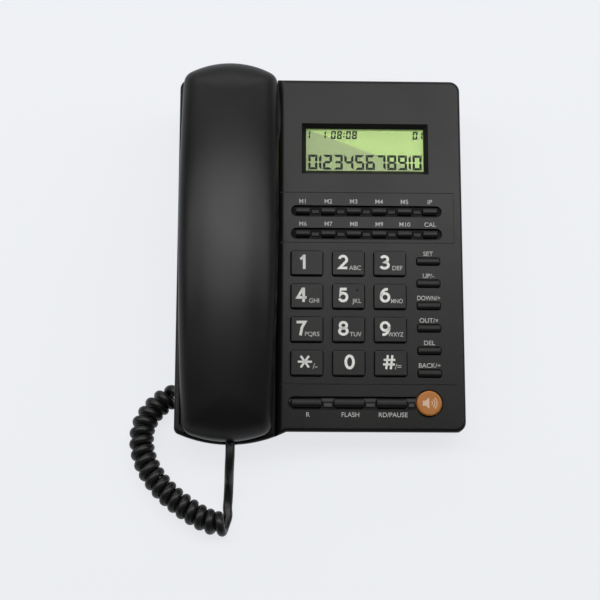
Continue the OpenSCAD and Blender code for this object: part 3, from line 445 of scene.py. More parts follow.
def display_glass(name):
    """Liquid-crystal panel: green, paler above a slanting line and with painted shade below it, a painted
    glow from a weak emission, and a fine grain.
    """
    c, blur = colours(), 0.4 * MM
    # The emission is a painted glow that brightens the display, which gives no light of its own.
    finish = Finish(name, c.display_light, 0.35, Specular_IOR_Level=0.3, Emission_Strength=0.14)
    low, high = panel_box("lcd_module")
    corner = from_panel([low[0] + 2.0 * MM, high[1] - 1.8 * MM, high[2]])
    along = from_panel([high[0] - 3.0 * MM, low[1] + 2.0 * MM, high[2]]) - corner
    across = -unit(np.cross(along, panel_axes()[0][2]))
    side = finish.compute("ShaderNodeVectorMath", "DOT_PRODUCT", "Value", finish.place, across)
    spread = finish.add("ShaderNodeMapRange")
    spread.inputs["From Min"].default_value = np.dot(corner, across) - blur
    spread.inputs["From Max"].default_value = np.dot(corner, across) + blur
    finish.link(side, spread.inputs["Value"])
    tint = finish.ramp(spread.outputs["Result"], c.display_shade[:], c.display_light[:], 0.0, 1.0)
    # The tint also feeds the emission, so the painted glow carries the painted shade.
    for socket in ("Base Color", "Emission Color"):
        finish.link(tint, finish.shader.inputs[socket])
    finish.grain(1500, 0.04, 0.0001)
    return finish.material


def dress(material, *nodes):
    """Gives solids of the frame a finish."""
    for node in nodes:
        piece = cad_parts[node]
        piece.data.materials.clear()
        piece.data.materials.append(material)


# Handset

BACK_POWER = 0.88
INNER_DRAFT = 0.12
MIDDLE_EXTRA = 2 * MM
TIP_POINTS, CORNER_POINTS, SIDE_POINTS = 16, 14, 72
EAR_PLACE, EAR_CIRCLE, MOUTH_PLACE, SCREW_PLACE = 78 * MM, 6 * MM, -74 * MM, 38 * MM
EAR_HOLE, MOUTH_HOLE, SCREW_HOLE, HOLE_DEPTH = 2 * MM, 1.8 * MM, 6.4 * MM, 4 * MM


def half_width(b):
    """Half the handset's width at place b: full behind the middle, falling off with the square."""
    s = sizes()
    reach = s.handset_length / 2
    return s.handset_width / 2 - s.handset_taper / 2 * ((b - reach / 4) / (reach * 1.25)) ** 2


def parting_height(b):
    """Height of the line between the two shells: a circular arch, lower than the back by the crown."""
    s = sizes()
    radius = ((s.handset_length / 2) ** 2 + s.arch_drop ** 2) / (2 * s.arch_drop)
    return s.handset_rise - radius + np.sqrt(radius ** 2 - b ** 2) - s.crown_height


def inner_height(b):
    """Height of the inner side: flat caps at both ends, a squared-cosine hollow for the grip between."""
    s = sizes()
    reach = s.handset_length / 2 - s.cap_length
    hollow = s.grip_height * np.cos(np.clip(b / reach, -1, 1) * math.pi / 2) ** 2
    return hollow - s.cap_depth


def plan_ring():
    """Plan of the handset, symmetric left and right: end curves, corner arcs and bowed sides."""
    s = sizes()
    reach, c = s.handset_length / 2, s.corner_radius
    halves = []
    for end, r in ((-1, s.mouth_radius), (1, s.ear_radius)):
        x = half_width(np.array(end * (reach - c))) - c
        y = reach - r + math.sqrt((r - c) ** 2 - x * x)
        a = math.atan2(y - reach + r, x)
        sweep = np.linspace(math.pi / 2, a, TIP_POINTS)[:-1]
        tip = np.stack([r * np.cos(sweep), end * (reach - r + r * np.sin(sweep))], -1)
        turn = np.linspace(a, 0, CORNER_POINTS)[:-1]
        corner = np.stack([x + c * np.cos(turn), end * (y + c * np.sin(turn))], -1)
        halves.append((np.concatenate([tip, corner]), end * y))
    b = np.linspace(halves[0][1], halves[1][1], SIDE_POINTS)
    side = np.stack([half_width(b), b], -1)
    right = np.concatenate([halves[0][0], side, halves[1][0][::-1]])
    return np.concatenate([right, right[-2:0:-1] * [-1, 1]])


def drawn_in(plan, share):
    """Plan drawn in towards the handset's middle line by a share."""
    s = sizes()
    end = s.handset_length / 2 - s.handset_width / 2 + MIDDLE_EXTRA
    middle = np.clip(plan[:, 1], -end, end)
    return np.stack([plan[:, 0] * share, middle + (plan[:, 1] - middle) * share], -1)


def in_handset(points):
    """Places in the handset's own frame set on the panel."""
    s = sizes()
    return from_panel(np.asarray(points) + [s.handset_u, s.handset_v, 0])


def shell_rings(plan, shares, height):
    """A stack of rings: the plan drawn in by each share, at a height for each place and step."""
    rings = []
    for step, share in enumerate(shares):
        flat = drawn_in(plan, share)
        rings.append(np.c_[flat, height(flat[:, 1], step)])
    return np.concatenate(rings)


# Cord

CURL_ROUTE = np.array([
    [-49.2, -140.4], [-54.4, -139.9], [-61.8, -136.9], [-71, -131], [-80.8, -122.8], [-88.6, -112.8],
    [-93, -101.5], [-93, -89.5], [-87.5, -79.5], [-79, -72.5]]) * MM
LEAD_ROUTE = np.array([
    [-46.8, -110, 19.5], [-47, -113.5, 16.8], [-47.15, -116.2, 13], [-47.3, -118.8, 8.6],
    [-47.5, -122.5, 5.2], [-47.75, -127.2, 3.2], [-48, -131, 2.7]]) * MM
PLUG_MOUTH = np.array([-65, -71.5, 9.05]) * MM
RUN_OUT = 0.067
DESK_GAP = 0.2 * MM
CURL_STEPS, LEAD_STEPS, TAIL_STEPS, SPLINE_STEPS = 32, 120, 4, 40
CORD_SIDES = 14


def spline(points, t):
    """Smooth curve through points (Catmull-Rom); t counts its stretches."""
    padded = np.concatenate([[2 * points[0] - points[1]], points, [2 * points[-1] - points[-2]]])
    k = np.clip(np.floor(t).astype(int), 0, len(points) - 2)
    f = (t - k)[:, None]
    a, b, c, d = (padded[k + n] for n in range(4))
    return b + 0.5 * f * (c - a + f * (2 * a - 5 * b + 4 * c - d + f * (3 * (b - c) + d - a)))


def points_along(points, places):
    """The same curve at given shares of its length."""
    t = np.linspace(0, len(points) - 1, SPLINE_STEPS * len(points))
    fine = spline(points, t)
    along = np.r_[0, np.cumsum(np.linalg.norm(np.diff(fine, axis=0), axis=1))]
    return spline(points, np.interp(np.asarray(places) * along[-1], along, t))


def cord_path():
    """Middle line of the cord: from the handset down to the desk, round the curls and into the base.

    The last curl runs out: its pitch grows with the square and its radius falls to nothing at the plug.
    """
    s = sizes()
    d = s.cord_diameter
    radius = (s.curl_diameter - d) / 2
    height = s.curl_diameter / 2 + DESK_GAP
    route = np.concatenate([CURL_ROUTE, [PLUG_MOUTH[:2] - [2 * d, 0], PLUG_MOUTH[:2] - [d / 2, 0]]])
    share = np.linspace(0, 1, CURL_STEPS * s.curls + 1)
    last = np.clip((share - 1) * s.curls + 1, 0, 1)
    middle = points_along(route, share * (1 - RUN_OUT) + RUN_OUT * last ** 2)
    heading = unit(np.gradient(middle, axis=0))
    turn = 2 * math.pi * s.curls * share - math.pi / 2
    radial = np.stack([-heading[:, 1] * np.cos(turn), heading[:, 0] * np.cos(turn), np.sin(turn)], -1)
    fade = (1 - last ** 2 * (3 - 2 * last))[:, None]
    lift = height + (PLUG_MOUTH[2] - height) * (1 - fade)
    helix = np.c_[middle, lift] + radius * fade * radial
    start = helix[0] - d * unit((helix[1] - helix[0]) * [1, 1, 0])
    boot = from_panel([s.socket_u, s.boot_v, s.boot_w])
    straight = from_panel([s.socket_u, s.boot_v - d, s.boot_w])
    lead = np.concatenate([[boot, straight], LEAD_ROUTE, [start, helix[0]]])
    lead = points_along(lead, np.linspace(0, 1, LEAD_STEPS))
    tail = np.linspace(helix[-1], PLUG_MOUTH, TAIL_STEPS)
    return np.concatenate([lead[:-1], helix, tail[1:]])


def tube(path, radius, sides):
    """Round tube along a path: rings square to it, carried on without twist, closed by lids."""
    tangent = unit(np.gradient(path, axis=0))
    across = np.empty_like(path)
    normal = unit(np.cross(tangent[0], [0, 0, 1.0]))
    for k, t in enumerate(tangent):
        across[k] = normal = unit(normal - np.dot(normal, t) * t)
    other = np.cross(tangent, across)
    angle = np.linspace(0, 2 * math.pi, sides, endpoint=False)
    ring = across[:, None] * np.cos(angle)[:, None] + other[:, None] * np.sin(angle)[:, None]
    points = (path[:, None] + radius * ring).reshape(-1, 3)
    return points, closed_stack(len(path), sides)


# Numerals of the dial keys: open and closed strokes, in millimetres from the lower left of each sign

def bow(x, y, rx, ry, start, stop, count=18):
    """Points along an oval arc about (x, y), between two angles in degrees."""
    a = np.radians(np.linspace(start, stop, count))
    return np.stack([x + rx * np.cos(a), y + ry * np.sin(a)], -1).tolist()


def oval(x, y, rx, ry):
    """A whole oval, without its last point again."""
    return bow(x, y, rx, ry, 0, 360, 33)[:-1]


NUMERAL_BOX = np.array([4.2, 6.4])
LINES = {
    "1": [[[2.3, 7.0], [2.3, -0.7]], [[0.2, 4.7], [1.4, 5.3], [2.2, 6.4]]],
    "2": [bow(2.05, 4.5, 1.95, 1.9, 168, -32) + [[0.2, 0.0], [4.3, 0.0]]],
    "3": [bow(2.0, 4.8, 1.8, 1.6, 155, -80) + bow(2.0, 1.65, 2.1, 1.65, 75, -158)],
    "4": [[[3.2, 7.0], [3.2, -0.7]], [[2.9, 6.6], [0.1, 1.75], [4.8, 1.75]]],
    "5": [[[3.9, 6.4], [0.95, 6.4], [0.45, 3.3]] + bow(2.0, 2.1, 2.1, 2.1, 130, -158)],
    "6": [bow(3.0, 2.4, 2.9, 4.0, 180, 78)],
    "7": [[[-0.5, 6.4], [4.0, 6.4], [2.4, 3.6], [1.6, -0.7]]],
    "*": [bow(2.1, 3.2, 3.7, 3.7, angle, angle + 180, 2) for angle in (0, 55, 125)],
    "#": [[[0.6, -0.5], [1.5, 6.9]], [[3.0, -0.5], [3.9, 6.9]],
          [[-1.0, 2.0], [5.1, 2.0]], [[-0.7, 4.4], [5.4, 4.4]]],
}
RINGS = {
    "0": [oval(2.1, 3.2, 2.0, 3.2)],
    "6": [oval(2.15, 2.1, 2.05, 2.1)],
    "8": [oval(2.1, 4.8, 1.75, 1.6), oval(2.1, 1.65, 2.05, 1.65)],
}
for strokes in (LINES, RINGS):
    strokes["9"] = [NUMERAL_BOX - path for path in strokes["6"]]


def numeral(sign):
    """Plates of one numeral, the middle of its box at the origin."""
    s = sizes()
    width = s.sign_stroke if sign in "*#" else s.numeral_stroke
    return [stroke((path - NUMERAL_BOX / 2) * MM, width, closed=kind is RINGS)
            for kind in (LINES, RINGS) for path in kind.get(sign, [])]


# Display and signs

SEGMENTS = {"0": "abcdef", "1": "bc", "2": "abged", "3": "abgcd", "4": "fgbc", "5": "afgcd", "6": "afgedc",
            "7": "abc", "8": "abcdefg", "9": "abcdfg"}


def segment_bars(width, height, bar):
    """Outlines of a digit's seven bars, mitred at the corners and a hairline apart."""
    half, middle, gap = bar / 2, height / 2, bar * 0.05
    near, far = bar + gap, width - bar - gap
    high = middle + half + gap
    top = np.array([(near, height - bar), (far, height - bar), (width - gap, height), (gap, height)])
    upper = np.array([(width - half, middle + gap), (width, high), (width, height - gap),
                      (width - bar, height - near), (width - bar, high)])
    cross = np.array([(half + gap, middle), (near, middle - half), (far, middle - half),
                      (width - half - gap, middle), (far, middle + half), (near, middle + half)])
    lower = (upper * [1, -1] + [0, height])[::-1]
    corner = np.array([width, height])
    return {"a": top, "b": upper, "c": lower, "d": corner - top, "e": corner - upper,
            "f": corner - lower, "g": cross}


def segment_row(text, u, v, width, height, bar, gap, slant):
    """A row of digits as thin prisms; a one and a colon are narrow, slant leans them to the right."""
    bars = segment_bars(width, height, bar)
    depth = sizes().ink_depth
    parts = []
    for sign in text:
        if sign == ":":
            advance = bar
            marks = [rectangle(0, bar, height * share - bar / 2, height * share + bar / 2)
                     for share in (0.3, 0.7)]
        else:
            advance = bar if sign == "1" else width
            marks = [bars[name] - [width - advance, 0] for name in SEGMENTS[sign]]
        for mark in marks:
            leaned = mark + np.c_[mark[:, 1] * slant, np.zeros(len(mark))] + [u, v]
            parts.append(prism(leaned, -depth / 2, depth / 2))
        u += advance + gap
    return parts


def arc_band(radius, width, start, stop, count=14):
    """Outline of a band along an arc round the origin."""
    angle = np.linspace(start, stop, count)
    ring = np.stack([np.cos(angle), np.sin(angle)], -1)
    return np.concatenate([ring * (radius - width / 2), (ring * (radius + width / 2))[::-1]])[::-1]


# Words on the keys and the panel

KEY_LETTERS = ("", "ABC", "DEF", "GHI", "JKL", "MNO", "PQRS", "TUV", "WXYZ")
DIAL_SIGNS = {**{f"key_{n}": (str(n), letters) for n, letters in enumerate(KEY_LETTERS, 1)},
              "key_star": ("*", "/-"), "key_0": ("0", ""), "key_hash": ("#", "/=")}
ABOVE_MEMORY = {**{f"memory_key_{n}": f"M{n}" for n in range(1, 11)}, "prefix_key": "IP", "call_key": "CAL"}
ABOVE_FUNCTION = {"set_key": "SET", "up_key": "UP/-", "down_key": "DOWN/+", "out_key": "OUT/×",
                  "delete_key": "DEL", "back_key": "BACK/÷"}
BELOW_LONG = {"recall_key": "R", "flash_key": "FLASH", "redial_key": "RD/PAUSE"}
MEMORY_ROWS = ((*(f"memory_key_{n}" for n in range(1, 6)), "prefix_key"),
               (*(f"memory_key_{n}" for n in range(6, 11)), "call_key"))
KEYS = (*DIAL_SIGNS, *ABOVE_MEMORY, *ABOVE_FUNCTION, *BELOW_LONG)
# Slots: keys, half the width, place of the round end beside the last key's middle, shift of the ridges,
# and 1 if the slot ends at the round button
SLOT_ROWS = (*((row, 3.1 * MM, 3.2 * MM, -0.3 * MM, 0) for row in MEMORY_ROWS),
             ((*BELOW_LONG, "speaker_button"), 3.4 * MM, 6.3 * MM, -0.9 * MM, 1))
SLOT_MIDDLE, SLOT_SLOPE = 1.2 * MM, 1.4 / 6.3
SHADE_STRIP_RISE, RIDGE_RISE = 0.02 * MM, 0.75 * MM
RIDGE_INSET, RIDGE_HALF = 0.7 * MM, 0.9 * MM
KEY_SHOULDER = 0.5 * MM
# Rows of words: place from the key's middle aside and along, widest word, in millimetres
WORD_ROWS = ((ABOVE_MEMORY, 0.0, 5.4, 16), (ABOVE_FUNCTION, 0.0, 4.3, 12.2), (BELOW_LONG, 0.6, -5.9, 16))
# Place of a numeral's middle beside the key's middle, in millimetres
NUMERAL_ASIDE = {"1": -1.6, "0": 0.4, "*": -1.0, "#": -1.0}
CLOCK = (("1", 1.1), ("1", 9.6), ("08:08", 13.2), ("0", 57.6), ("1", 62.2))
SPEAKER_CONE = ((-3.6, -1.3), (-2.2, -1.3), (-0.1, -3.0), (-0.1, 3.0), (-2.2, 1.3), (-3.6, 1.3))


class TELEPHONE_OT_stage(bpy.types.Operator):
    """Pale floor, softboxes over the telephone and its handset, rear card, even fill and the camera"""
    bl_idname = "telephone.stage"
    bl_label = "Stage"

    def execute(self, context):
        stage = context.scene.telephone_stage
        self.add_camera(context, stage)
        self.add_floor(context, stage)
        self.add_lamp(context, "softbox", stage.softbox_power, size=(4.4, 0.46), place=(-0.1, 0.23, 1.0))
        self.add_lamp(context, "crown_softbox", stage.crown_power, size=(0.62, 0.3),
                      place=(-0.09, 0.03, 1.0), only=("handset_back_shell", "handset_inner_shell"))
        self.add_lamp(context, "rear_card", stage.card_power, size=(2.0, 0.5), place=(-0.05, 1.1, 0.6))
        self.set_world(context, stage)
        context.scene.view_settings.view_transform = "Standard"
        return {"FINISHED"}

    def add_camera(self, context, stage):
        camera = bpy.data.cameras.new("camera")
        camera.lens = stage.lens
        camera.sensor_width = 36
        camera.clip_start = 0.01
        view = bpy.data.objects.new("camera", camera)
        forward, up = Vector(stage.camera_forward).normalized(), Vector(stage.camera_up)
        right = forward.cross(up).normalized()
        turn = Matrix((right, right.cross(forward), -forward)).transposed()
        view.matrix_world = Matrix.Translation(stage.camera_place) @ turn.to_4x4()
        context.scene.collection.objects.link(view)
        context.scene.camera = view

    def add_floor(self, context, stage):
        """A floor that takes light and shadow, and glows evenly for most of what is seen of it."""
        half, drop, glow = 6.0, 0.0002, 0.9
        points = np.c_[rectangle(-half, half, -half, half), np.full(4, -drop)]
        finish = Finish("pale_floor", stage.floor, 0.9, Specular_IOR_Level=0.1)
        finish.vary_colour(stage.floor, 0.01, 2)
        seen = finish.add("ShaderNodeEmission")
        seen.inputs["Color"].default_value = (*stage.floor, 1)
        seen.inputs["Strength"].default_value = stage.backdrop
        rays = finish.add("ShaderNodeLightPath").outputs
        straight = finish.compute("ShaderNodeMath", "MAXIMUM", "Value",
                                  rays["Is Camera Ray"], rays["Is Transmission Ray"])
        either = finish.compute("ShaderNodeMath", "MAXIMUM", "Value", straight, rays["Is Glossy Ray"])
        share = finish.compute("ShaderNodeMath", "MULTIPLY", "Value", either, glow)
        mix = finish.add("ShaderNodeMixShader")
        finish.link(share, mix.inputs["Fac"])
        finish.link(finish.shader.outputs["BSDF"], mix.inputs[1])
        finish.link(seen.outputs["Emission"], mix.inputs[2])
        finish.link(mix.outputs["Shader"], finish.tree.nodes["Material Output"].inputs["Surface"])
        floor = add_piece("floor", points, [[0, 1, 2, 3]], finish.material, None)

    def add_lamp(self, context, name, power, size, place, only=()):
        """A rectangular lamp tipped toward the telephone; only limits its light to some pieces."""
        light = bpy.data.lights.new(name, "AREA")
        light.shape = "RECTANGLE"
        light.size, light.size_y = size
        light.energy = power
        lamp = bpy.data.objects.new(name, light)
        lamp.location = place
        lamp.rotation_euler.x = -math.atan2(place[1] / 2, place[2])
        context.scene.collection.objects.link(lamp)
        if only:
            group = bpy.data.collections.new(f"{name}_pieces")
            for piece in only:
                group.objects.link(bpy.data.objects[piece])
            lamp.light_linking.receiver_collection = group

    def set_world(self, context, stage):
        """Even fill light; seen by the camera, the world is as bright as the far floor."""
        far_floor = 0.91
        world = bpy.data.worlds.new("studio")
        world.use_nodes = True
        tree = world.node_tree
        ground = tree.nodes["Background"]
        ground.inputs["Color"].default_value = (*stage.floor, 1)
        rays = tree.nodes.new("ShaderNodeLightPath")
        spread = tree.nodes.new("ShaderNodeMapRange")
        spread.inputs["To Min"].default_value = stage.fill
        spread.inputs["To Max"].default_value = far_floor * stage.backdrop
        tree.links.new(rays.outputs["Is Camera Ray"], spread.inputs["Value"])
        tree.links.new(spread.outputs["Result"], ground.inputs["Strength"])
        context.scene.world = world


class TELEPHONE_OT_cord(bpy.types.Operator):
    """Curly cord from the handset's boot to the plug in the base"""
    bl_idname = "telephone.cord"
    bl_label = "Curly Cord"

    def execute(self, context):
        s = sizes()
        path = cord_path()
        points, faces = tube(path, s.cord_diameter / 2, CORD_SIDES)
        finish = satin_plastic("cord_jacket", colours().cord, 0.38, 0.05)
        cord = add_piece("handset_cord", points, faces, finish, None)
        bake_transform(cord)
        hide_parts("coil_cord", "cord_lead")
        return {"FINISHED"}


class TELEPHONE_OT_handset(bpy.types.Operator):
    """Crowned outer shell and inner shell of the handset"""
    bl_idname = "telephone.handset"
    bl_label = "Handset Shells"

    def execute(self, context):
        finish = satin_plastic("handset_satin", colours().handset, 0.36, sheen=0.18)
        plan = plan_ring()
        self.add_back(plan, finish)
        self.cut_openings(self.add_inner(plan, finish), finish)
        return {"FINISHED"}

    def add_back(self, plan, finish):
        """Oval rings: drawn in with the cosine and raised with the sine, both to a power under one."""
        angle = np.radians(np.r_[np.linspace(0, 80, 26), 84, 87, 89])
        raised = sizes().crown_height * np.sin(angle) ** BACK_POWER
        points = shell_rings(plan, np.cos(angle) ** BACK_POWER, lambda b, k: parting_height(b) + raised[k])
        shell = self.add_shell("handset_back_shell", points, len(plan), finish, False)
        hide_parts("handset_top")

    def add_inner(self, plan, finish):
        """Rings from the parting line down: drawn in by the draft, rounding over to caps and grip."""
        depth = np.r_[np.linspace(0, 0.6, 8), np.linspace(0.66, 0.98, 14), 0.992, 1.0]
        shares = (1 - INNER_DRAFT * depth) * (1 - 0.9 * depth ** 6) ** 0.1
        points = shell_rings(plan, shares, lambda b, k: (parting_height(b) * (1 - depth[k])
                                                         + inner_height(b) * depth[k]))
        shell = self.add_shell("handset_inner_shell", points, len(plan), finish, True)
        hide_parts("handset_bottom")
        return shell

    def add_shell(self, name, points, count, finish, downward):
        """Walls round a stack of rings of count points, strips across the first and the last one."""
        walls = ring_walls(len(points) // count, count)
        walls = (walls[:, ::-1] if downward else walls).tolist()
        lids = mirror_lid(count, len(points) - count, downward) + mirror_lid(count, 0, not downward)
        return add_piece(name, in_handset(points), walls + lids, finish, "handset",
                         flat_from=len(walls) + len(lids) // 2)

    def cut_openings(self, shell, finish):
        """Sound holes over the receiver and the microphone, screw recesses and the socket's mouth."""
        s = sizes()
        low, high = -s.cap_depth - MM, -s.cap_depth + HOLE_DEPTH
        holes = [(0, EAR_PLACE, EAR_HOLE, high)]
        for a in np.arange(6) * math.pi / 3:
            x, y = EAR_CIRCLE * math.cos(a), EAR_CIRCLE * math.sin(a)
            holes.append((x, EAR_PLACE + y, EAR_HOLE, high))
        holes += [(x * MM, MOUTH_PLACE, MOUTH_HOLE, high) for x in (-3, 0, 3)]
        holes += [(0, b, SCREW_HOLE, inner_height(b) + HOLE_DEPTH) for b in (-SCREW_PLACE, SCREW_PLACE)]
        parts = [prism(oval(x, y, d / 2, d / 2), low, top) for x, y, d, top in holes]
        middle, tip = s.socket_u - s.handset_u, -s.handset_length / 2
        wide, tall, out, deep = 5.2 * MM, 4.6 * MM, 5 * MM, 16 * MM
        mouth = rectangle(middle - wide, middle + wide, tip - out, tip + deep)
        parts.append(prism(mouth, s.boot_w - tall, s.boot_w + tall))
        points, faces = join_parts(parts)
        cutter = add_piece("cutter", in_handset(points), faces, finish, None, smooth=False)
        cut = shell.modifiers.new("openings", "BOOLEAN")
        cut.object, cut.operation, cut.solver = cutter, "DIFFERENCE", "EXACT"
        mesh = evaluated_mesh(shell)
        mesh.set_sharp_from_angle(angle=math.radians(40))
        shell.modifiers.remove(cut)
        shell.data = mesh
        bpy.data.objects.remove(cutter)


class TELEPHONE_OT_housing(bpy.types.Operator):
    """Finishes of the base, its keys and its small pieces"""
    bl_idname = "telephone.housing"
    bl_label = "Base Finishes"

    def execute(self, context):
        c = colours()
        dress(satin_plastic("housing_satin", c.housing, 0.33, sheen=0.19), "base_top", "base_bottom")
        dress(satin_plastic("key_satin", c.keycap, 0.4, 0.06, 0.22), *KEYS, "hook_plunger")
        dress(gloss_plastic("button_orange", c.button, 0.42, 0.25), "speaker_button")
        dress(soft_rubber("foot_rubber", c.rubber), "feet")
        dress(soft_rubber("mat_rubber", (0.07, 0.07, 0.075), 0.7), "key_mat")
        dress(plated_metal("screw_zinc", c.metal), "base_screws", "handset_screws", "handset_weight")
        dress(plated_metal("capsule_case", c.metal, 0.4),
              "base_mic", "handset_mic", "ear_receiver", "loudspeaker")
        dress(gloss_plastic("jack_black", c.rubber, 0.4),
              "line_jack", "cord_jack", "hook_switch", "handset_socket")
        dress(gloss_plastic("plug_black", c.cord, 0.25), "base_plug", "handset_plug")
        dress(gloss_plastic("board_green", c.board, 0.35), "main_board")
        self.add_contacts(plated_metal("contact_gold", c.contact, 0.25))
        return {"FINISHED"}

    def add_contacts(self, finish):
        """Four sprung wires in the line jack, slanting inward from its roof."""
        low, high = panel_box("line_jack")
        middle, pitch, radius = (low[0] + high[0]) / 2, 1.27 * MM, 0.25 * MM
        wires = []
        for u in middle + (np.arange(4) - 1.5) * pitch:
            mouth = np.array([u, high[1] - 2 * MM, high[2] - 2.6 * MM])
            inner = np.array([u, high[1] - 9 * MM, high[2] - 5 * MM])
            wires.append(tube(from_panel(np.linspace(mouth, inner, 4)), radius, 8))
        add_piece("line_contacts", *join_parts(wires), finish, "base")


class TELEPHONE_OT_slots(bpy.types.Operator):
    """Matt black strips of painted shade on the floors of the three slots, and ridges between their keys"""
    bl_idname = "telephone.slots"
    bl_label = "Key Slots"

    def execute(self, context):
        strips, ridges = [], []
        for names, half, aside, shift, button in SLOT_ROWS:
            boxes = [panel_box(name) for name in names]
            holes = [(low[0] + KEY_SHOULDER, high[0] - KEY_SHOULDER) for low, high in boxes]
            front, rear = boxes[0][0][1], boxes[0][1][1]
            v, reach = (front + rear) / 2, (rear - front) / 2 - KEY_SHOULDER
            for left, right in holes[:len(names) - button]:
                for low, high in ((-half, -reach), (reach, half)):
                    strips.append((rectangle(left, right, v + low, v + high), v))
            for (_, left), (right, _) in zip(holes, holes[1:]):
                strips.append((rectangle(left, right, v - half, v + half), v))
                ridges.append((rectangle(left + RIDGE_INSET, right - RIDGE_INSET, v + shift - RIDGE_HALF,
                                         v + shift + RIDGE_HALF), v))
            strips.append((self.round_end(*holes[0], v, half, aside), v))
            if not button:
                strips.append((self.round_end(*holes[-1][::-1], v, half, aside), v))
        # The strips are painted shade: matt black laid over the slot floors, where the shade in the slots
        # falls.
        self.add_strips("slot_strips", strips, SHADE_STRIP_RISE, soft_rubber("slot_painted_shade", colours().slot, 0.9))
        self.add_strips("slot_ridges", ridges, RIDGE_RISE, satin_plastic("ridge_satin", colours().housing))
        return {"FINISHED"}

    def round_end(self, near, far, v, half, aside):
        """A slot's round end beyond its last key: an arc closed by its chord."""
        side = math.copysign(1, near - far)
        middle = (near + far) / 2 + side * aside
        open_angle = math.acos(np.clip(side * (near - middle) / half, -1, 1))
        angle = np.linspace(-open_angle, open_angle, 24)
        return np.stack([middle + side * half * np.cos(angle), v + side * half * np.sin(angle)], -1)

    def add_strips(self, name, strips, height, finish):
        """Blocks from the sloping floor of a slot up by a height; the floor falls to the rear."""
        parts = []
        for outline, middle in strips:
            points, faces = prism(outline, 0.0, height)
            points[:, 2] -= SLOT_MIDDLE + SLOT_SLOPE * (points[:, 1] - middle)
            parts.append((from_panel(points), faces))
        add_piece(name, *join_parts(parts), finish, "base", smooth=False)


class TELEPHONE_OT_display(bpy.types.Operator):
    """Display glass, its dark segments and the clear window"""
    bl_idname = "telephone.display"
    bl_label = "Display"

    def execute(self, context):
        dress(display_glass("display_green_painted_glow"), "lcd_module")
        dress(clear_lens("window_clear"), "lcd_lens")
        low, high = panel_box("lcd_module")
        margin, drop = 2.2 * MM, 7.2 * MM
        left, front = low[0] + margin, low[1] + margin
        rows = segment_row("012345678910", left + 1.0 * MM, front + 0.7 * MM, width=5.0 * MM,
                           height=8.4 * MM, bar=1.35 * MM, gap=0.8 * MM, slant=0.0)
        for text, place in CLOCK:
            rows += segment_row(text, left + place * MM, high[1] - drop, width=2.6 * MM,
                                height=4.5 * MM, bar=0.85 * MM, gap=0.7 * MM, slant=0.08)
        points, faces = join_parts(placed(part, 0, 0, high[2]) for part in rows)
        ink = printed_ink("segment_ink", colours().segments, 0.03)
        add_piece("display_segments", points, faces, ink, "base", smooth=False)
        return {"FINISHED"}


class TELEPHONE_OT_lettering(bpy.types.Operator):
    """Numerals on the dial keys and words on the panel"""
    bl_idname = "telephone.lettering"
    bl_label = "Lettering"

    def execute(self, context):
        white = printed_ink("lettering_white", colours().lettering)
        grey = printed_ink("lettering_grey", colours().small_print)
        for key, (sign, letters) in DIAL_SIGNS.items():
            u, v, top = node_centre(key)
            along = v + 0.5 * MM
            aside = u + NUMERAL_ASIDE.get(sign, -2.8) * MM
            parts = [placed(part, aside, along, top) for part in numeral(sign)]
            add_piece(f"{key}_numeral", *join_parts(parts), white, key, smooth=False)
            if letters:
                self.add_letters(key, letters, grey, u, v - 2.5 * MM, top)
        self.add_panel_words(grey)
        return {"FINISHED"}

    def add_letters(self, key, letters, ink, u, v, top):
        """Letters near the right of a key; the signs beside star and hash are larger and higher."""
        height, right, widest = sizes().letter_height, 6.7 * MM, (8.0 if len(letters) > 3 else 6.2) * MM
        if key in ("key_star", "key_hash"):
            height, right, widest, v = height * 1.25, 5.6 * MM, 3.4 * MM, v + 0.8 * MM
        word = lettering(letters, height, weight=0.008, align="RIGHT", widest=widest)
        add_piece(f"{key}_letters", *placed(word, u + right, v, top), ink, key, smooth=False)

    def add_panel_words(self, ink):
        words = []
        for names, aside, along, widest in WORD_ROWS:
            for key, word in names.items():
                u, v, _ = node_centre(key)
                plate = lettering(word, sizes().label_height, weight=0.006, widest=widest * MM)
                words.append(placed(plate, u + aside * MM, v + along * MM, 0.0))
        add_piece("panel_words", *join_parts(words), ink, "base", smooth=False)


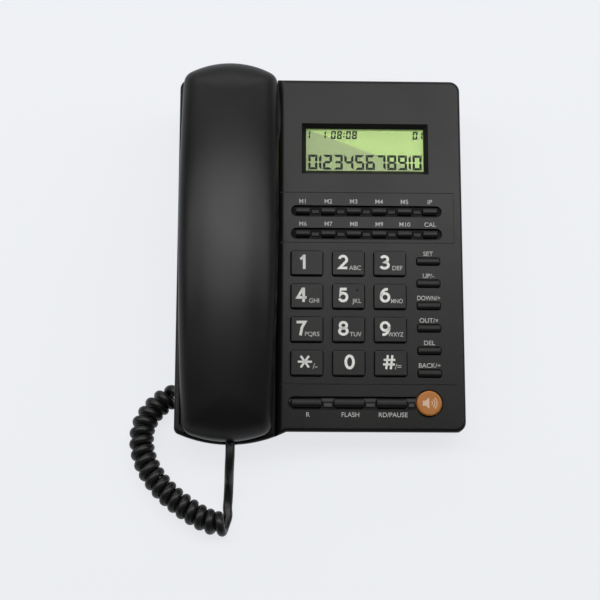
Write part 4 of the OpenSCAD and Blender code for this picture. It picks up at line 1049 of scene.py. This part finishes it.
class TELEPHONE_OT_button_sign(bpy.types.Operator):
    """Loudspeaker sign on the round button and the finger dot on the middle key"""
    bl_idname = "telephone.button_sign"
    bl_label = "Button Sign"

    def execute(self, context):
        u, v, top = node_centre("speaker_button")
        half = sizes().ink_depth / 2
        outlines = [np.array(SPEAKER_CONE) * MM]
        for radius in (1.5, 2.7, 3.9):
            outlines.append(arc_band(radius * MM, width=0.55 * MM, start=-0.8, stop=0.8))
        parts = [placed(prism(o, -half, half), u, v, top) for o in outlines]
        ink = printed_ink("sign_pale", colours().icon)
        add_piece("speaker_sign", *join_parts(parts), ink, "speaker_button", smooth=False)
        self.add_finger_dot("key_5")
        return {"FINISHED"}

    def add_finger_dot(self, key):
        """A dot raised by half its radius, revolved from a quarter oval."""
        u, v, top = node_centre(key)
        radius, rise, count = 0.6 * MM, 0.3 * MM, 24
        angle = np.linspace(0, 2 * math.pi, count, endpoint=False)
        ring = np.stack([np.cos(angle), np.sin(angle)], -1)
        levels = np.radians(np.linspace(0, 80, 6))
        rings = [np.c_[ring * radius * math.cos(a), np.full(count, rise * math.sin(a))] for a in levels]
        points = from_panel(np.concatenate(rings) + [u + 4.6 * MM, v + 3.2 * MM, top])
        finish = soft_rubber("dot_black", colours().slot, 0.9)
        add_piece(f"{key}_dot", points, closed_stack(len(levels), count), finish, key)


class TELEPHONE_PT_panel(bpy.types.Panel):
    """Lists the steps that dress the telephone"""
    bl_idname = "TELEPHONE_PT_panel"
    bl_label = "Desk Telephone"
    bl_space_type = "VIEW_3D"
    bl_region_type = "UI"
    bl_category = "Telephone"

    def draw(self, context):
        for operator in OPERATORS:
            self.layout.operator(operator.bl_idname)


OPERATORS = (TELEPHONE_OT_cord, TELEPHONE_OT_handset, TELEPHONE_OT_housing, TELEPHONE_OT_slots,
             TELEPHONE_OT_display, TELEPHONE_OT_lettering, TELEPHONE_OT_button_sign, TELEPHONE_OT_stage)
GROUPS = {"telephone_sizes": TelephoneSizes, "telephone_colours": TelephoneColours,
          "telephone_stage": TelephoneStage}


def register():
    for cls in (*GROUPS.values(), *OPERATORS, TELEPHONE_PT_panel):
        bpy.utils.register_class(cls)
    for name, group in GROUPS.items():
        setattr(bpy.types.Scene, name, PointerProperty(type=group))


def unregister():
    for name in GROUPS:
        delattr(bpy.types.Scene, name)
    for cls in (TELEPHONE_PT_panel, *reversed(OPERATORS), *GROUPS.values()):
        bpy.utils.unregister_class(cls)


def main():
    register()
    bpy.ops.telephone.cord()
    bpy.ops.telephone.handset()
    bpy.ops.telephone.housing()
    bpy.ops.telephone.slots()
    bpy.ops.telephone.display()
    bpy.ops.telephone.lettering()
    bpy.ops.telephone.button_sign()
    bpy.ops.telephone.stage()


if __name__ == "__main__":
    main()
